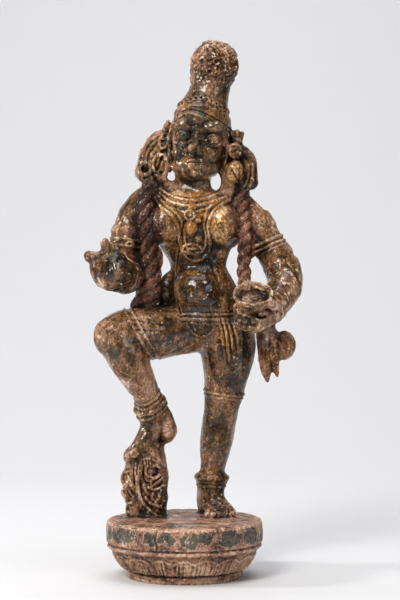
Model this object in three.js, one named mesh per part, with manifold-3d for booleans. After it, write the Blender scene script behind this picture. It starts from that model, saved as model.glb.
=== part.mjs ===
// Dancing demon figure, carved from wood in one piece with its round lotus plinth.
// Millimetres. +Z is up, the origin is the centre of the plinth's underside, and the figure faces -Y.
import * as THREE from "three";
import { mergeVertices } from "three/addons/utils/BufferGeometryUtils.js";
import Module from "manifold-3d";

const wasm = await Module();
wasm.setup();

// Plinth
const FOOT_R = 63.5;
const FOOT_H = 9;
const LOTUS_LOW_R = 69;
const LOTUS_HIGH_R = 81;
const LOTUS_TOP = 31;
const LOTUS_PETALS = 20;
const PETAL_DEPTH = 0.03;
const DRUM_R = 85.5;
const DRUM_BOTTOM = 37;
const PLINTH_TOP = 63.5;

// Head and headdress
const HEAD = [17.5, 19, 474];
const HEAD_SIZE = [28, 33, 38];
const JAW = 0.12;
const HEAD_TILT = THREE.MathUtils.degToRad(8);
const FACE_TURN = THREE.MathUtils.degToRad(7);
const EYE_SPACING = 33;
const TOPKNOT = [33.5, 20, 565];
const TOPKNOT_R = 28;
const TOPKNOT_CURLS = 5;
const CURL_DEPTH = 0.055;
const HAIR_RIDGE = 0.05;

// Cords, bands and fingers
const CORD_R = 1.7;
const BAND_LIFT = 3;
const FINGER_R = 5;
const TOE_R = 4.6;
const BRAID_LUMP = 0.16;
const BRAID_TURNS = 3.5;
const LEAF_LOBE = 0.1;
const LEAF_LOBES = 4;

// Bowl in the left hand
const BOWL_R = 23.5;
const BOWL_DEPTH = 21;
const BOWL_WALL = 3;
const BOWL_TILT = THREE.MathUtils.degToRad(33);
const BOWL = [74.5, -38, 315];

const X_AXIS = new THREE.Vector3(1, 0, 0);
const Y_AXIS = new THREE.Vector3(0, 1, 0);
const Z_AXIS = new THREE.Vector3(0, 0, 1);

// A closed solid from a three.js geometry whose seams are merged.
function solidOf(geometry) {
  geometry.deleteAttribute("normal");
  geometry.deleteAttribute("uv");
  const merged = mergeVertices(geometry, 1e-4);
  const solid = new wasm.Manifold(
    new wasm.Mesh({
      numProp: 3,
      vertProperties: merged.attributes.position.array,
      triVerts: new Uint32Array(merged.index.array),
    }),
  );
  if (solid.volume() <= 0) throw new Error("a shape is inside out");
  return solid;
}

function join(solids) {
  return solids.reduce((whole, next) => whole.add(next));
}

// The places along a limb where a row of points stands: even steps, and four rows at each band's edges.
function rowPlaces(steps, bands) {
  const even = Array.from({ length: steps + 1 }, (_, i) => i / steps);
  const clear = even.filter((t) => bands.every(([at, half]) => Math.abs(t - at) > 1.3 * half));
  const edges = bands.flatMap(([at, half]) => [at - half, at - 0.6 * half, at + 0.6 * half, at + half]);
  return [...clear, ...edges].sort((a, b) => a - b);
}

// A round-ended limb. Each station is [x, y, z, half width, half depth], and side points along the width.
// A band is [place along the limb, half length, lift]. swell scales the section by angle and place.
function limb(stations, options = {}) {
  const {
    sides = 8,
    rows: steps = 2 * (stations.length - 1),
    side = X_AXIS,
    cap = 1,
    reach = 0.7,
    bands = [],
    swell = () => 1,
  } = options;
  const spine = new THREE.CatmullRomCurve3(
    stations.map(([x, y, z]) => new THREE.Vector3(x, y, z)),
    false,
    "catmullrom",
  );
  const girth = new THREE.CatmullRomCurve3(
    stations.map(([, , , w, d = w]) => new THREE.Vector3(w, d, 0)),
    false,
    "catmullrom",
  );
  const places = rowPlaces(steps, bands);
  const rows = places.length - 1;
  const total = rows + 2 * cap;
  const geometry = new THREE.SphereGeometry(1, sides, total);
  const deep = new THREE.Vector3();
  for (let row = 0; row <= total; row++) {
    const t = places[THREE.MathUtils.clamp(row - cap, 0, rows)];
    const dome = (Math.max(cap - row, row - total + cap, 0) / cap) * (Math.PI / 2);
    const band = bands.find(([at, half]) => Math.abs(t - at) < 0.7 * half);
    const lift = band ? band[2] : 0;
    const size = girth.getPoint(t);
    const along = spine.getTangent(t);
    const across = side.clone().addScaledVector(along, -side.dot(along)).normalize();
    deep.crossVectors(across, along);
    const push = Math.sin(dome) * reach * Math.min(size.x, size.y) * (row < cap ? -1 : 1);
    const centre = spine.getPoint(t).addScaledVector(along, push);
    for (let i = 0; i <= sides; i++) {
      const angle = (2 * Math.PI * (i % sides)) / sides;
      const grow = swell(angle, t) * Math.cos(dome);
      const point = centre.clone();
      point.addScaledVector(across, Math.cos(angle) * (size.x + lift) * grow);
      point.addScaledVector(deep, Math.sin(angle) * (size.y + lift) * grow);
      geometry.attributes.position.setXYZ(row * (sides + 1) + i, point.x, point.y, point.z);
    }
  }
  return solidOf(geometry);
}

// An ellipsoid with its poles along Z before it is turned.
function ball(centre, radii, options = {}) {
  const { wide = 8, high = 5, turn = [0, 0, 0], swell } = options;
  const geometry = new THREE.SphereGeometry(1, wide, high);
  geometry.rotateX(Math.PI / 2);
  if (swell) {
    const position = geometry.attributes.position;
    const p = new THREE.Vector3();
    for (let i = 0; i < position.count; i++) {
      p.fromBufferAttribute(position, i);
      p.multiplyScalar(swell(Math.atan2(p.y, p.x), Math.acos(THREE.MathUtils.clamp(p.z, -1, 1))));
      position.setXYZ(i, p.x, p.y, p.z);
    }
  }
  geometry.scale(...radii);
  geometry.applyMatrix4(new THREE.Matrix4().makeRotationFromEuler(new THREE.Euler(...turn)));
  geometry.translate(...centre);
  return solidOf(geometry);
}

// A ring about an axis, with half sizes a, along X, and b, and a tube of the given half thickness.
function ring(centre, axis, a, b, thick, around = 12) {
  const geometry = new THREE.TorusGeometry(a, thick, 4, around);
  const position = geometry.attributes.position;
  for (let i = 0; i < position.count; i++) {
    const x = position.getX(i);
    const y = position.getY(i);
    const angle = Math.atan2(y, x);
    const out = Math.hypot(x, y) - a;
    position.setXY(i, Math.cos(angle) * (a + out), Math.sin(angle) * (b + out));
  }
  const w = new THREE.Vector3(...axis).normalize();
  const u = X_AXIS.clone().addScaledVector(w, -X_AXIS.dot(w)).normalize();
  const v = new THREE.Vector3().crossVectors(w, u);
  geometry.applyMatrix4(new THREE.Matrix4().makeBasis(u, v, w).setPosition(...centre));
  return solidOf(geometry);
}

// A turned solid about Z from [radius, height] points that start and end on the axis.
function turned(profile, segments, flute) {
  const points = profile.map(([r, z]) => new THREE.Vector2(r, z));
  const geometry = new THREE.LatheGeometry(points, segments);
  geometry.rotateX(Math.PI / 2);
  if (flute) {
    const position = geometry.attributes.position;
    for (let i = 0; i < position.count; i++) {
      const z = position.getZ(i);
      const grow = flute(Math.atan2(position.getY(i), position.getX(i)), z);
      position.setXYZ(i, position.getX(i) * grow, position.getY(i) * grow, z);
    }
  }
  return geometry;
}

// Round plinth: a plain drum over a band of upright lotus petals and a low foot ring.
function plinth() {
  const petal = (angle, z) => {
    const inBand = z > FOOT_H && z < LOTUS_TOP ? 1 : 0;
    return 1 + inBand * PETAL_DEPTH * Math.cos(LOTUS_PETALS * angle);
  };
  const profile = [
    [0, 0],
    [FOOT_R - 1.5, 0],
    [FOOT_R, FOOT_H - 1],
    [LOTUS_LOW_R, FOOT_H + 1],
    [(LOTUS_LOW_R + LOTUS_HIGH_R) / 2 + 1.5, (FOOT_H + LOTUS_TOP) / 2],
    [LOTUS_HIGH_R, LOTUS_TOP - 0.5],
    [DRUM_R - 1.5, LOTUS_TOP],
    [DRUM_R - 2, DRUM_BOTTOM - 1.5],
    [DRUM_R, DRUM_BOTTOM],
    [DRUM_R, PLINTH_TOP - 8],
    [DRUM_R - 7, PLINTH_TOP],
    [0, PLINTH_TOP],
  ];
  return solidOf(turned(profile, 2 * LOTUS_PETALS, petal));
}

// Trunk from the neck to the hips, [x, y, z, half width, half depth].
const TRUNK = [
  [14, 24, 452, 17, 17],
  [10, 26, 435, 18.5, 17.5],
  [6, 27, 426, 34, 19],
  [8.5, 25, 416, 47, 25],
  [8.5, 24, 400, 49.5, 28],
  [10, 24, 384, 48, 27],
  [12, 25.5, 366, 39, 24],
  [14, 26, 351, 32, 22],
  [15, 25, 340, 30, 22],
  [18, 22, 328, 33, 26],
  [21, 21, 314, 39, 30],
  [21, 24, 299, 42, 31],
  [22, 30, 284, 43.5, 31],
  [25, 31, 271, 42, 30],
  [31, 32, 258, 35, 27],
];
// The breasts, each a centre and its three radii.
const BREASTS = [
  { centre: [-20, 9, 389], radii: [18.5, 16, 22] },
  { centre: [41, 9, 388], radii: [18.5, 16, 22] },
];

// The trunk's front surface at a width and height, where necklaces lie.
function trunkFront(x, z) {
  let low = 0;
  while (low < TRUNK.length - 2 && TRUNK[low + 1][2] > z) low++;
  const t = THREE.MathUtils.clamp((TRUNK[low][2] - z) / (TRUNK[low][2] - TRUNK[low + 1][2]), 0, 1);
  const [cx, cy, , w, d] = TRUNK[low].map((v, i) => THREE.MathUtils.lerp(v, TRUNK[low + 1][i], t));
  let front = cy - d * Math.sqrt(Math.max(0, 1 - ((x - cx) / w) ** 2));
  for (const { centre, radii } of BREASTS) {
    const rest = 1 - ((x - centre[0]) / radii[0]) ** 2 - ((z - centre[2]) / radii[2]) ** 2;
    if (rest > 0) front = Math.min(front, centre[1] - radii[1] * Math.sqrt(rest));
  }
  return front;
}

// A cord laid over the trunk through [x, z] points.
function layCord(points, radius = CORD_R, rows = 8) {
  const curve = new THREE.CatmullRomCurve3(points.map(([x, z]) => new THREE.Vector3(x, 0, z)));
  const stations = curve.getPoints(rows / 2).map((p) => [p.x, trunkFront(p.x, p.z), p.z, radius]);
  return limb(stations, { sides: 4, rows, side: Y_AXIS });
}

function trunk() {
  const at = (station) => station / (TRUNK.length - 1);
  const bands = [
    [at(11.4), 0.022, BAND_LIFT],
    [at(12.3), 0.022, BAND_LIFT],
  ];
  const body = limb(TRUNK, { sides: 12, rows: TRUNK.length - 1, reach: 0.3, bands });
  const breasts = BREASTS.map(({ centre, radii }) => ball(centre, radii, { high: 6 }));
  return join([body, ...breasts]);
}

// Broad collar, a doubled cord down to the waist and three pendants between them.
function necklaces() {
  const collar = layCord([
    [-34, 414],
    [-22, 406],
    [-3, 398],
    [18, 397],
    [38, 401],
    [52, 410],
  ], CORD_R + 1.5, 6);
  const long = layCord([
    [-20, 410],
    [-8, 392],
    [-4, 368],
    [1, 352],
    [7, 348],
    [17, 353],
    [23, 372],
    [31, 400],
  ], CORD_R + 1.5, 8);
  const pendants = [
    [6, 400, 7.5, 7.5],
    [8, 384, 7, 6.5],
    [8, 361, 11, 6],
  ].map(([x, z, w, h]) => ball([x, trunkFront(x, z), z], [w, 3.4, h], { wide: 6, high: 4 }));
  return join([collar, long, ...pendants]);
}

// The apron below the belts and the sash ends that hang on the standing thigh.
function apronAndSash() {
  const ends = [0, 1, 2].map((i) =>
    limb(
      [
        [44 + 8 * i, 2 - i, 281, 3.5, 3],
        [47 + 7 * i, -1, 262, 4.5, 4],
        [50 + 5 * i, 0, 245, 4, 4],
        [54 + 3 * i, 4, 228, 2.5, 3],
      ],
      { sides: 5, rows: 3 },
    ),
  );
  const apron = limb(
    [
      [24, 0, 282, 17, 7],
      [24, 2, 268, 15, 8],
      [25, 8, 254, 9, 8],
    ],
    { sides: 8, rows: 2 },
  );
  return join([apron, ...ends]);
}

// Head with its face, tilted to the figure's left and turned a little to its right.
function head() {
  const [x, y, z] = HEAD;
  const front = y - HEAD_SIZE[1];
  const jaw = (angle, polar) => 1 + JAW * Math.max(0, -Math.cos(polar)) * Math.max(0, -Math.sin(angle));
  const skull = ball(HEAD, HEAD_SIZE, { wide: 10, high: 7, swell: jaw });
  const nose = limb(
    [
      [x - 1, front + 3, z + 14, 3.5, 4],
      [x - 1, front - 1, z + 4, 4.5, 5],
      [x - 1, front - 4, z - 5, 8.5, 6],
    ],
    { sides: 5, rows: 2 },
  );
  const eyes = [-0.5, 0.5].map((s) => ball([x + s * EYE_SPACING, front + 7, z + 9], [9, 6.5, 7], { wide: 7, high: 4 }));
  const brows = [-1, 1].map((s) =>
    limb(
      [
        [x + 4 * s, front + 2, z + 17, 2],
        [x + 15 * s, front + 4, z + 20.5, 2.6],
        [x + 24 * s, front + 11, z + 16, 2],
      ],
      { sides: 4, rows: 2, side: Z_AXIS },
    ),
  );
  const lips = limb(
    [
      [x - 12, front + 6, z - 16, 2.5],
      [x, front - 1, z - 17, 4.5, 3],
      [x + 12, front + 6, z - 16, 2.5],
    ],
    { sides: 4, rows: 2, side: Z_AXIS },
  );
  const rim = ring([x, y - 9, z + 2], [0, 1, 0.08], 29.5, 37, 3);
  const face = turnedAbout(join([nose, ...eyes, ...brows, lips]), HEAD, [0, 0, -FACE_TURN]);
  return turnedAbout(join([skull, face, rim]), HEAD, [0, HEAD_TILT, 0]);
}

// A solid turned about a point by angles round X, Y and Z.
function turnedAbout(solid, [x, y, z], angles) {
  const degrees = angles.map(THREE.MathUtils.radToDeg);
  return solid.translate([-x, -y, -z]).rotate(degrees).translate([x, y, z]);
}

// Tall headdress: a flaring crown with bands and beads under a round topknot of curls.
function headdress() {
  const crown = limb(
    [
      [17, 25, 480, 33.5, 34],
      [18, 23, 494, 34, 35],
      [18.5, 21, 505, 32.5, 34],
      [20, 20, 514, 29.5, 31],
      [22, 20, 521, 26.5, 28],
      [25, 20, 528, 23.8, 25],
      [28, 20, 538, 22.5, 23],
      [31, 20, 550, 22.5, 22.5],
    ],
    {
      sides: 12,
      rows: 6,
      reach: 0.3,
      bands: [
        [0.33, 0.045, BAND_LIFT - 1],
        [0.68, 0.04, BAND_LIFT - 1.5],
      ],
    },
  );
  const curls = (angle, polar) =>
    1 + CURL_DEPTH * Math.sin(TOPKNOT_CURLS * angle + 2 * polar) * Math.sin(TOPKNOT_CURLS * polar);
  const knot = ball(TOPKNOT, [TOPKNOT_R, TOPKNOT_R, TOPKNOT_R], { wide: 14, high: 8, swell: curls });
  return join([crown, knot]);
}

// Round masses of hair beside the head, each with a long ear, its ring and a boss.
function sideHair() {
  const left = join([
    limb(
      [
        [-23, 26, 486, 12, 12],
        [-33, 27, 472, 15, 14],
        [-38, 27, 456, 16, 14],
        [-36, 27, 441, 14, 13],
      ],
      { sides: 8, rows: 4, reach: 0.8 },
    ),
    ball([-46, 14, 450], [8, 8, 9], { high: 5 }),
    ball([-20, 22, 497], [5.5, 6, 6], { wide: 6, high: 4 }),
    ring([-26, 11, 452], [0.5, 1, 0], 8, 13.5, 4, 10),
  ]);
  const right = join([
    ball([62, 25, 448], [18.5, 14, 29], { high: 7 }),
    ball([58, 23, 484], [8.5, 9, 11], { wide: 6, high: 4 }),
    ring([56.5, 10, 470], [-0.2, 1, 0], 6, 9, 2.6, 8),
    ball([56.5, 8, 446], [9.5, 8, 14]),
  ]);
  const nape = limb(
    [
      [17, 37, 478, 40, 13],
      [15, 40, 462, 41, 13],
      [10, 46, 440, 18, 12],
      [11, 47, 398, 12, 6],
    ],
    { rows: 3, swell: (angle) => 1 + HAIR_RIDGE * Math.cos(5 * angle) },
  );
  return join([left, right, nape]);
}

// A twisted braid of hair: its section turns as it goes down, and its lumps follow the turn.
function braid(stations, turns, rows) {
  const swell = (angle, t) => 1 + BRAID_LUMP * Math.cos(2 * angle + 2 * Math.PI * turns * t);
  return limb(stations, { sides: 6, rows, swell });
}

function braids() {
  const left = braid(
    [
      [-39, 15, 432, 8, 9],
      [-43, 7, 410, 9, 9],
      [-42, 4, 384, 9.5, 9],
      [-39, 6, 358, 10, 9],
      [-36, 10, 334, 11, 9],
      [-39, 14, 314, 13.5, 10],
      [-42.5, 16, 297, 18, 10],
    ],
    BRAID_TURNS,
    11,
  );
  const lobe = ball([-17, 24, 317], [15, 11, 22], { turn: [0, 0.3, 0] });
  const right = braid(
    [
      [62, 22, 420, 8, 8],
      [65, 14, 402, 8.5, 8],
      [66, 4, 380, 8.5, 8],
      [65.5, -2, 358, 8, 8],
      [66, -8, 338, 8, 8],
      [67, -14, 322, 7, 7],
    ],
    BRAID_TURNS,
    11,
  );
  return join([left, lobe, right]);
}

// The bent right arm with its armlet and bracelet, on the picture's left.
function rightArm() {
  const arm = limb(
    [
      [-25, 26, 425, 17, 18],
      [-48, 25, 411, 19, 19],
      [-60, 22, 394, 18.5, 18],
      [-64, 20, 376, 17, 17],
      [-65, 17, 356, 17, 17],
      [-64, 8, 338, 18.5, 18],
      [-65, -8, 331, 18.5, 18],
      [-69, -22, 334, 17, 17],
    ],
    {
      rows: 8,
      bands: [
        [0.39, 0.035, BAND_LIFT],
        [0.49, 0.035, BAND_LIFT],
        [0.84, 0.05, BAND_LIFT],
      ],
    },
  );
  const jewel = ball([-59, 0, 366], [7, 3, 5.5], { wide: 6, high: 4 });
  return join([arm, jewel]);
}

// The loosely closed right hand: fingers curled over a round palm, a thumb and one more finger up.
const FIST = { centre: [-81, -31, 339], radii: [23, 18, 24] };

function rightHand() {
  const [cx, cy, cz] = FIST.centre;
  const [rx, ry, rz] = FIST.radii;
  const onFist = (dx, dz, r) => {
    const deep = Math.sqrt(Math.max(0.05, 1 - (dx / rx) ** 2 - (dz / rz) ** 2));
    return [cx + dx, cy - ry * deep, cz + dz, r];
  };
  const palm = ball(FIST.centre, FIST.radii, { wide: 10, high: 7 });
  const fingers = [0, 1, 2].map((i) => {
    const dx = -17 + 7 * i;
    const stations = [onFist(dx + 6, -19, FINGER_R - 1), onFist(dx, -3, FINGER_R), onFist(dx - 1, 12, FINGER_R - 0.5)];
    return limb(stations, { sides: 4, rows: 2 });
  });
  const raised = [
    [
      [-76, -34, 346, 7, 7],
      [-82, -38, 357, 6, 6],
      [-87, -37, 368, 4.8, 4.8],
    ],
    [
      [-90, -34, 342, 7, 7],
      [-97, -35, 350, 6, 6],
      [-103, -34, 356, 5, 5],
    ],
    [
      [-76, -36, 352, 7, 7],
      [-71, -48, 345, 7.5, 7.5],
      [-69, -55, 334, 6, 6],
    ],
  ].map((stations) => limb(stations, { sides: 5, rows: 2 }));
  return join([palm, ...fingers, ...raised]);
}

// The left arm with its armlets and wrist bands, on the picture's right.
function leftArm() {
  return limb(
    [
      [56, 27, 414, 17, 18],
      [70, 28, 404, 18.5, 19],
      [83, 27, 386, 18.5, 18.5],
      [94, 25, 368, 18.5, 18],
      [104, 22, 350, 19, 18],
      [110, 16, 332, 20, 19],
      [109, 4, 318, 19, 19],
      [101, -12, 304, 17, 17],
      [92, -22, 292, 14, 15],
    ],
    {
      rows: 9,
      bands: [
        [0.47, 0.03, BAND_LIFT],
        [0.55, 0.03, BAND_LIFT],
        [0.8, 0.04, BAND_LIFT - 1],
      ],
    },
  );
}

// The bowl, tipped towards the front, and the hand that holds it from below.
function bowlAndHand() {
  const outer = [
    [0, -BOWL_DEPTH],
    [BOWL_R * 0.5, -BOWL_DEPTH],
    [BOWL_R * 0.84, -BOWL_DEPTH * 0.55],
    [BOWL_R, 0],
    [BOWL_R - BOWL_WALL, 0],
    [(BOWL_R - BOWL_WALL) * 0.75, -BOWL_DEPTH * 0.5],
    [0, -BOWL_DEPTH * 0.66],
  ];
  const place = new THREE.Matrix4().makeRotationX(BOWL_TILT).setPosition(...BOWL);
  const bowl = solidOf(turned(outer, 14).applyMatrix4(place));
  const palm = limb(
    [
      [93, -20, 298, 15, 13],
      [80, -26, 284, 15, 12],
      [68, -32, 277, 12, 9],
    ],
    { sides: 8, rows: 3 },
  );
  const fingers = [0, 1, 2].map((i) =>
    limb(
      [
        [84 - 9 * i, -24, 283 - 3 * i, FINGER_R + 0.6],
        [76 - 9 * i, -38, 282 - i, FINGER_R + 0.6],
        [66 - 5 * i, -46, 290 + 2 * i, FINGER_R],
        [62 - 4 * i, -48, 300 + i, FINGER_R - 1],
      ],
      { sides: 4, rows: 3 },
    ),
  );
  const thumb = limb(
    [
      [100, -28, 300, 7, 7],
      [97, -42, 300, 6, 6],
      [92, -50, 304, 5, 5],
    ],
    { sides: 5, rows: 2 },
  );
  return join([bowl, palm, ...fingers, thumb]);
}

// Knot, pointed tails and a ball of cloth that hang below the left hand.
function tails() {
  const knot = limb(
    [
      [88, -10, 290, 9, 8],
      [91, 2, 272, 11, 10],
      [93, 8, 256, 12, 8],
    ],
    { sides: 7, rows: 3 },
  );
  const points = [
    [87, 90, 91, 216, 10],
    [96, 100, 101, 224, 8],
  ].map(([x0, x1, x2, z2, w], i) =>
    limb(
      [
        [x0, 8, 272, w, 6],
        [x1, 10, 248, w + 1, 5.5],
        [x2 - 1, 10 + i, z2 + 16, w * 0.8, 4.5],
        [x2, 10 + i, z2 + 2, 1.5, 1.5],
      ],
      { sides: 4, rows: 4 },
    ),
  );
  const disc = ball([110.5, 14, 254.5], [13.5, 11, 16]);
  return join([knot, ...points, disc]);
}

// The straight left leg with its knee band and anklet.
function standingLeg() {
  return limb(
    [
      [47, 30, 282, 27, 29],
      [49, 31, 266, 29, 30],
      [49, 32, 250, 29.5, 29],
      [47.5, 33, 232, 27, 27],
      [45.5, 34, 212, 22.5, 23.5],
      [43, 35, 195, 20, 21],
      [41, 36, 183, 19.5, 20.5],
      [37.5, 39, 164, 19.5, 21],
      [35.5, 41, 146, 18.5, 20],
      [33.5, 41, 128, 16, 17.5],
      [31, 40, 112, 13.5, 15],
      [30, 39, 98, 13, 14.5],
      [30, 37, 84, 14, 16],
    ],
    {
      rows: 8,
      reach: 0.4,
      bands: [
        [0.395, 0.02, BAND_LIFT],
        [0.87, 0.02, BAND_LIFT + 1],
        [0.93, 0.02, BAND_LIFT + 1],
      ],
    },
  );
}

// Five toes in a row about the middle one, each a little shorter and thinner than the one before.
function toeRow(middle, step, reach, side) {
  const toes = [0, 1, 2, 3, 4].map((i) => {
    const root = middle.map((v, a) => v + step[a] * (i - 2));
    const tip = root.map((v, a) => v + reach[a] * (1 - 0.09 * i));
    const r = i === 0 ? TOE_R + 0.8 : TOE_R - 0.2 * i;
    return limb([[...root, r], [...tip, r * 0.9]], { sides: 4, rows: 1, side });
  });
  return join(toes);
}

function standingFoot() {
  const sole = limb(
    [
      [28, 50, 76, 13, 13],
      [34, 32, 75, 15, 13],
      [40, 16, 69, 18, 6],
    ],
    { sides: 8, rows: 3 },
  );
  return join([sole, toeRow([40, 16, 69], [7.4, 2.5, 0], [4, -11, -1], X_AXIS)]);
}

// The raised right leg: thigh out to the side, knee bent, shin down to the leaf.
function raisedLeg() {
  const thigh = limb(
    [
      [18, 30, 278, 25, 26],
      [-8, 21, 273, 28, 27],
      [-30, 6, 269, 27, 27],
      [-58, -10, 268, 25, 25],
      [-81, -22, 269, 20, 20],
    ],
    {
      rows: 4,
      side: Z_AXIS,
      cap: 2,
      reach: 0.9,
      bands: [
        [0.66, 0.09, BAND_LIFT],
      ],
    },
  );
  const shin = limb(
    [
      [-76, -21, 265, 21, 23],
      [-64.5, -18, 246, 23, 25],
      [-55.5, -12, 230, 20.5, 23],
      [-48.5, -4, 214, 18, 21],
      [-42, 2, 200, 16, 18],
      [-37.5, 8, 187, 15, 16],
      [-33, 11, 172, 14, 16],
    ],
    {
      rows: 5,
      bands: [
        [0.82, 0.045, BAND_LIFT + 1],
        [0.93, 0.045, BAND_LIFT + 1],
      ],
    },
  );
  return join([thigh, shin]);
}

// The raised foot comes down over the leaf on its toes, with the heel behind.
function raisedFoot() {
  const heel = ball([-21, 20, 158], [13, 12, 14], { high: 5 });
  const step = limb(
    [
      [-34, 12, 172, 13, 14],
      [-37, 11, 160, 12, 14],
      [-45, 5, 148, 11, 12],
      [-53, 0, 141, 7.5, 11],
    ],
    { sides: 8, rows: 4 },
  );
  return join([heel, step, toeRow([-54, 0, 139], [1.6, -4.8, -1], [-9, -3, -8], Y_AXIS)]);
}

// Flame-like leaf that holds up the raised foot, with curled lobes on both edges and an S-shaped rib.
function leaf() {
  const lobed = (angle, t) => 1 + LEAF_LOBE * Math.abs(Math.cos(angle)) * Math.cos(2 * Math.PI * LEAF_LOBES * t);
  const blade = limb(
    [
      [-40, 26, 58, 21, 18],
      [-42, 26, 72, 23, 18],
      [-43, 25, 90, 25, 18],
      [-43.5, 23, 108, 26, 18],
      [-44, 20, 124, 24, 18],
      [-42, 17, 138, 19, 17],
      [-38, 16, 150, 12, 14],
    ],
    { rows: 11, reach: 0.4, swell: lobed },
  );
  const rib = limb(
    [
      [-34, 3, 136, 2.5],
      [-48, 1, 118, 3.5],
      [-53, 3, 98, 3.5],
      [-47, 6, 80, 3.5],
      [-30, 9, 64, 2.5],
    ],
    { sides: 4, rows: 5 },
  );
  return join([blade, rib]);
}

const wood = new THREE.MeshStandardMaterial({ color: 0x4a3826, roughness: 0.55, metalness: 0.05 });

function meshOf(name, solid, material) {
  const { numProp, vertProperties, triVerts } = solid.getMesh();
  const geometry = new THREE.BufferGeometry();
  geometry.setAttribute("position", new THREE.BufferAttribute(vertProperties, numProp));
  geometry.setIndex(new THREE.BufferAttribute(triVerts, 1));
  geometry.computeVertexNormals();
  const mesh = new THREE.Mesh(geometry, material);
  mesh.name = name;
  return mesh;
}

const figure = join([
  plinth(),
  trunk(),
  necklaces(),
  apronAndSash(),
  head(),
  headdress(),
  sideHair(),
  braids(),
  rightArm(),
  rightHand(),
  leftArm(),
  bowlAndHand(),
  tails(),
  standingLeg(),
  standingFoot(),
  raisedLeg(),
  raisedFoot(),
  leaf(),
]);

// The pockets that stay closed between joined forms are solid wood, so only the outer skin is kept.
const skin = figure.decompose().reduce((a, b) => (a.volume() > b.volume() ? a : b));

const group = new THREE.Group();
group.add(meshOf("dancing_figure", skin, wood));
export default group;
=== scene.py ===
"""Dancing demon of carved, gilt and painted wood on a lotus plinth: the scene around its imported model."""

import math
import bpy
import numpy as np
from bpy.props import FloatProperty, FloatVectorProperty, PointerProperty
from mathutils import Matrix, Vector
from mathutils.bvhtree import BVHTree


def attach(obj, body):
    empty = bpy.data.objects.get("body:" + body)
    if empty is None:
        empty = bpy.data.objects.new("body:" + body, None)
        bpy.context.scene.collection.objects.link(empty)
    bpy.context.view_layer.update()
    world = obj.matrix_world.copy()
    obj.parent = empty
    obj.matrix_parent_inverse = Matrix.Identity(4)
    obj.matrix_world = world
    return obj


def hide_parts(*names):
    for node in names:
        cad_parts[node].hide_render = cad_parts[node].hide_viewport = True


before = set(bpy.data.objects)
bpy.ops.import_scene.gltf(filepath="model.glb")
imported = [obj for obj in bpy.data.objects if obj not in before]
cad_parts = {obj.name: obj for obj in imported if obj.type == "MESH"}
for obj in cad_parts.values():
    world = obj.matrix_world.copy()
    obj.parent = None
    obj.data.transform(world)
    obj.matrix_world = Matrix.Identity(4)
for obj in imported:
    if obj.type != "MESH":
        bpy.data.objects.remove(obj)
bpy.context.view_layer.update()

bl_info = {
    "name": "Dancing Demon Figure",
    "version": (1, 0, 0),
    "blender": (4, 5, 0),
    "location": "View3D > Sidebar > Demon Figure",
    "description": "Carves and paints the dancing demon figure, its plinth and its stage",
    "category": "Object",
}

MM = 0.001
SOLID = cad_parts["dancing_figure"]
CAMERA_PLACE = Vector((17.1, -2310.0, 371.7)) * MM
CAMERA_PITCH = math.radians(1.65)
LENS, FILM_HEIGHT = 84.0, 24.0

# Heights in mm. The cuts only keep each mesh small: the object has no joint there.
PLINTH_TOP = 63.5
SUNK = 3.0  # how far inside the plinth the figure's mesh starts
HIP_CUT = 284.0
NECK_CUT = 437.0
FIGURE_TRIANGLES = 385000  # legs, torso and head together

PULL = 0.6  # how far a smoothing pass moves a value towards its neighbours' mean
ROUGH_PASSES = 24  # smoothing passes that round the solid's facets off
SWELL = 0.4  # mm put back where that smoothing shrinks the form
CLOSE_PASSES, WIDE_PASSES = 5, 36  # smoothing that a point is compared with, to find hollows
GROUP_LEVELS = 20  # steps of weight in a vertex group
BRAID_HAIRS = 5  # hair lines on each strand of a braid
BRAID_ROOM = 20  # mm round a braid's middle, more than any of its strands takes


# ---------------------------------------------------------------- working with meshes


def choose(*pieces):
    """Select only these pieces, the first one active."""
    bpy.ops.object.select_all(action="DESELECT")
    for piece in pieces:
        piece.select_set(True)
    bpy.context.view_layer.objects.active = pieces[0]


def finish_with(piece, kind, **settings):
    """Add a modifier with these settings and apply it."""
    choose(piece)
    modifier = piece.modifiers.new(kind.title(), kind)
    for key, value in settings.items():
        setattr(modifier, key, value)
    bpy.ops.object.modifier_apply(modifier=modifier.name)


def solid_above(name, low):
    """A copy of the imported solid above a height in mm, closed where it is cut."""
    piece = bpy.data.objects.new(name, SOLID.data.copy())
    bpy.context.scene.collection.objects.link(piece)
    piece.data.materials.clear()
    choose(piece)
    bpy.ops.object.mode_set(mode="EDIT")
    bpy.ops.mesh.select_all(action="SELECT")
    bpy.ops.mesh.remove_doubles(threshold=1e-5)
    bpy.ops.mesh.select_all(action="SELECT")
    bpy.ops.mesh.bisect(plane_co=(0, 0, low * MM), plane_no=(0, 0, -1), use_fill=True, clear_outer=True)
    bpy.ops.object.mode_set(mode="OBJECT")
    return piece


def points_of(piece):
    """The places of a piece's vertices, in mm."""
    flat = np.empty(len(piece.data.vertices) * 3)
    piece.data.vertices.foreach_get("co", flat)
    return flat.reshape(-1, 3) / MM


def move_points(piece, points):
    """Put a piece's vertices at these places, in mm."""
    piece.data.vertices.foreach_set("co", (points * MM).ravel())
    piece.data.update()


def normals_of(piece):
    """The normals at a piece's vertices."""
    flat = np.empty(len(piece.data.vertices) * 3, dtype=np.float32)
    piece.data.vertex_normals.foreach_get("vector", flat)
    return flat.reshape(-1, 3).astype(float)


def edges_of(piece):
    """The pairs of vertices that a piece's edges join."""
    flat = np.empty(len(piece.data.edges) * 2, dtype=np.int32)
    piece.data.edges.foreach_get("vertices", flat)
    return flat.reshape(-1, 2)


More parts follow.
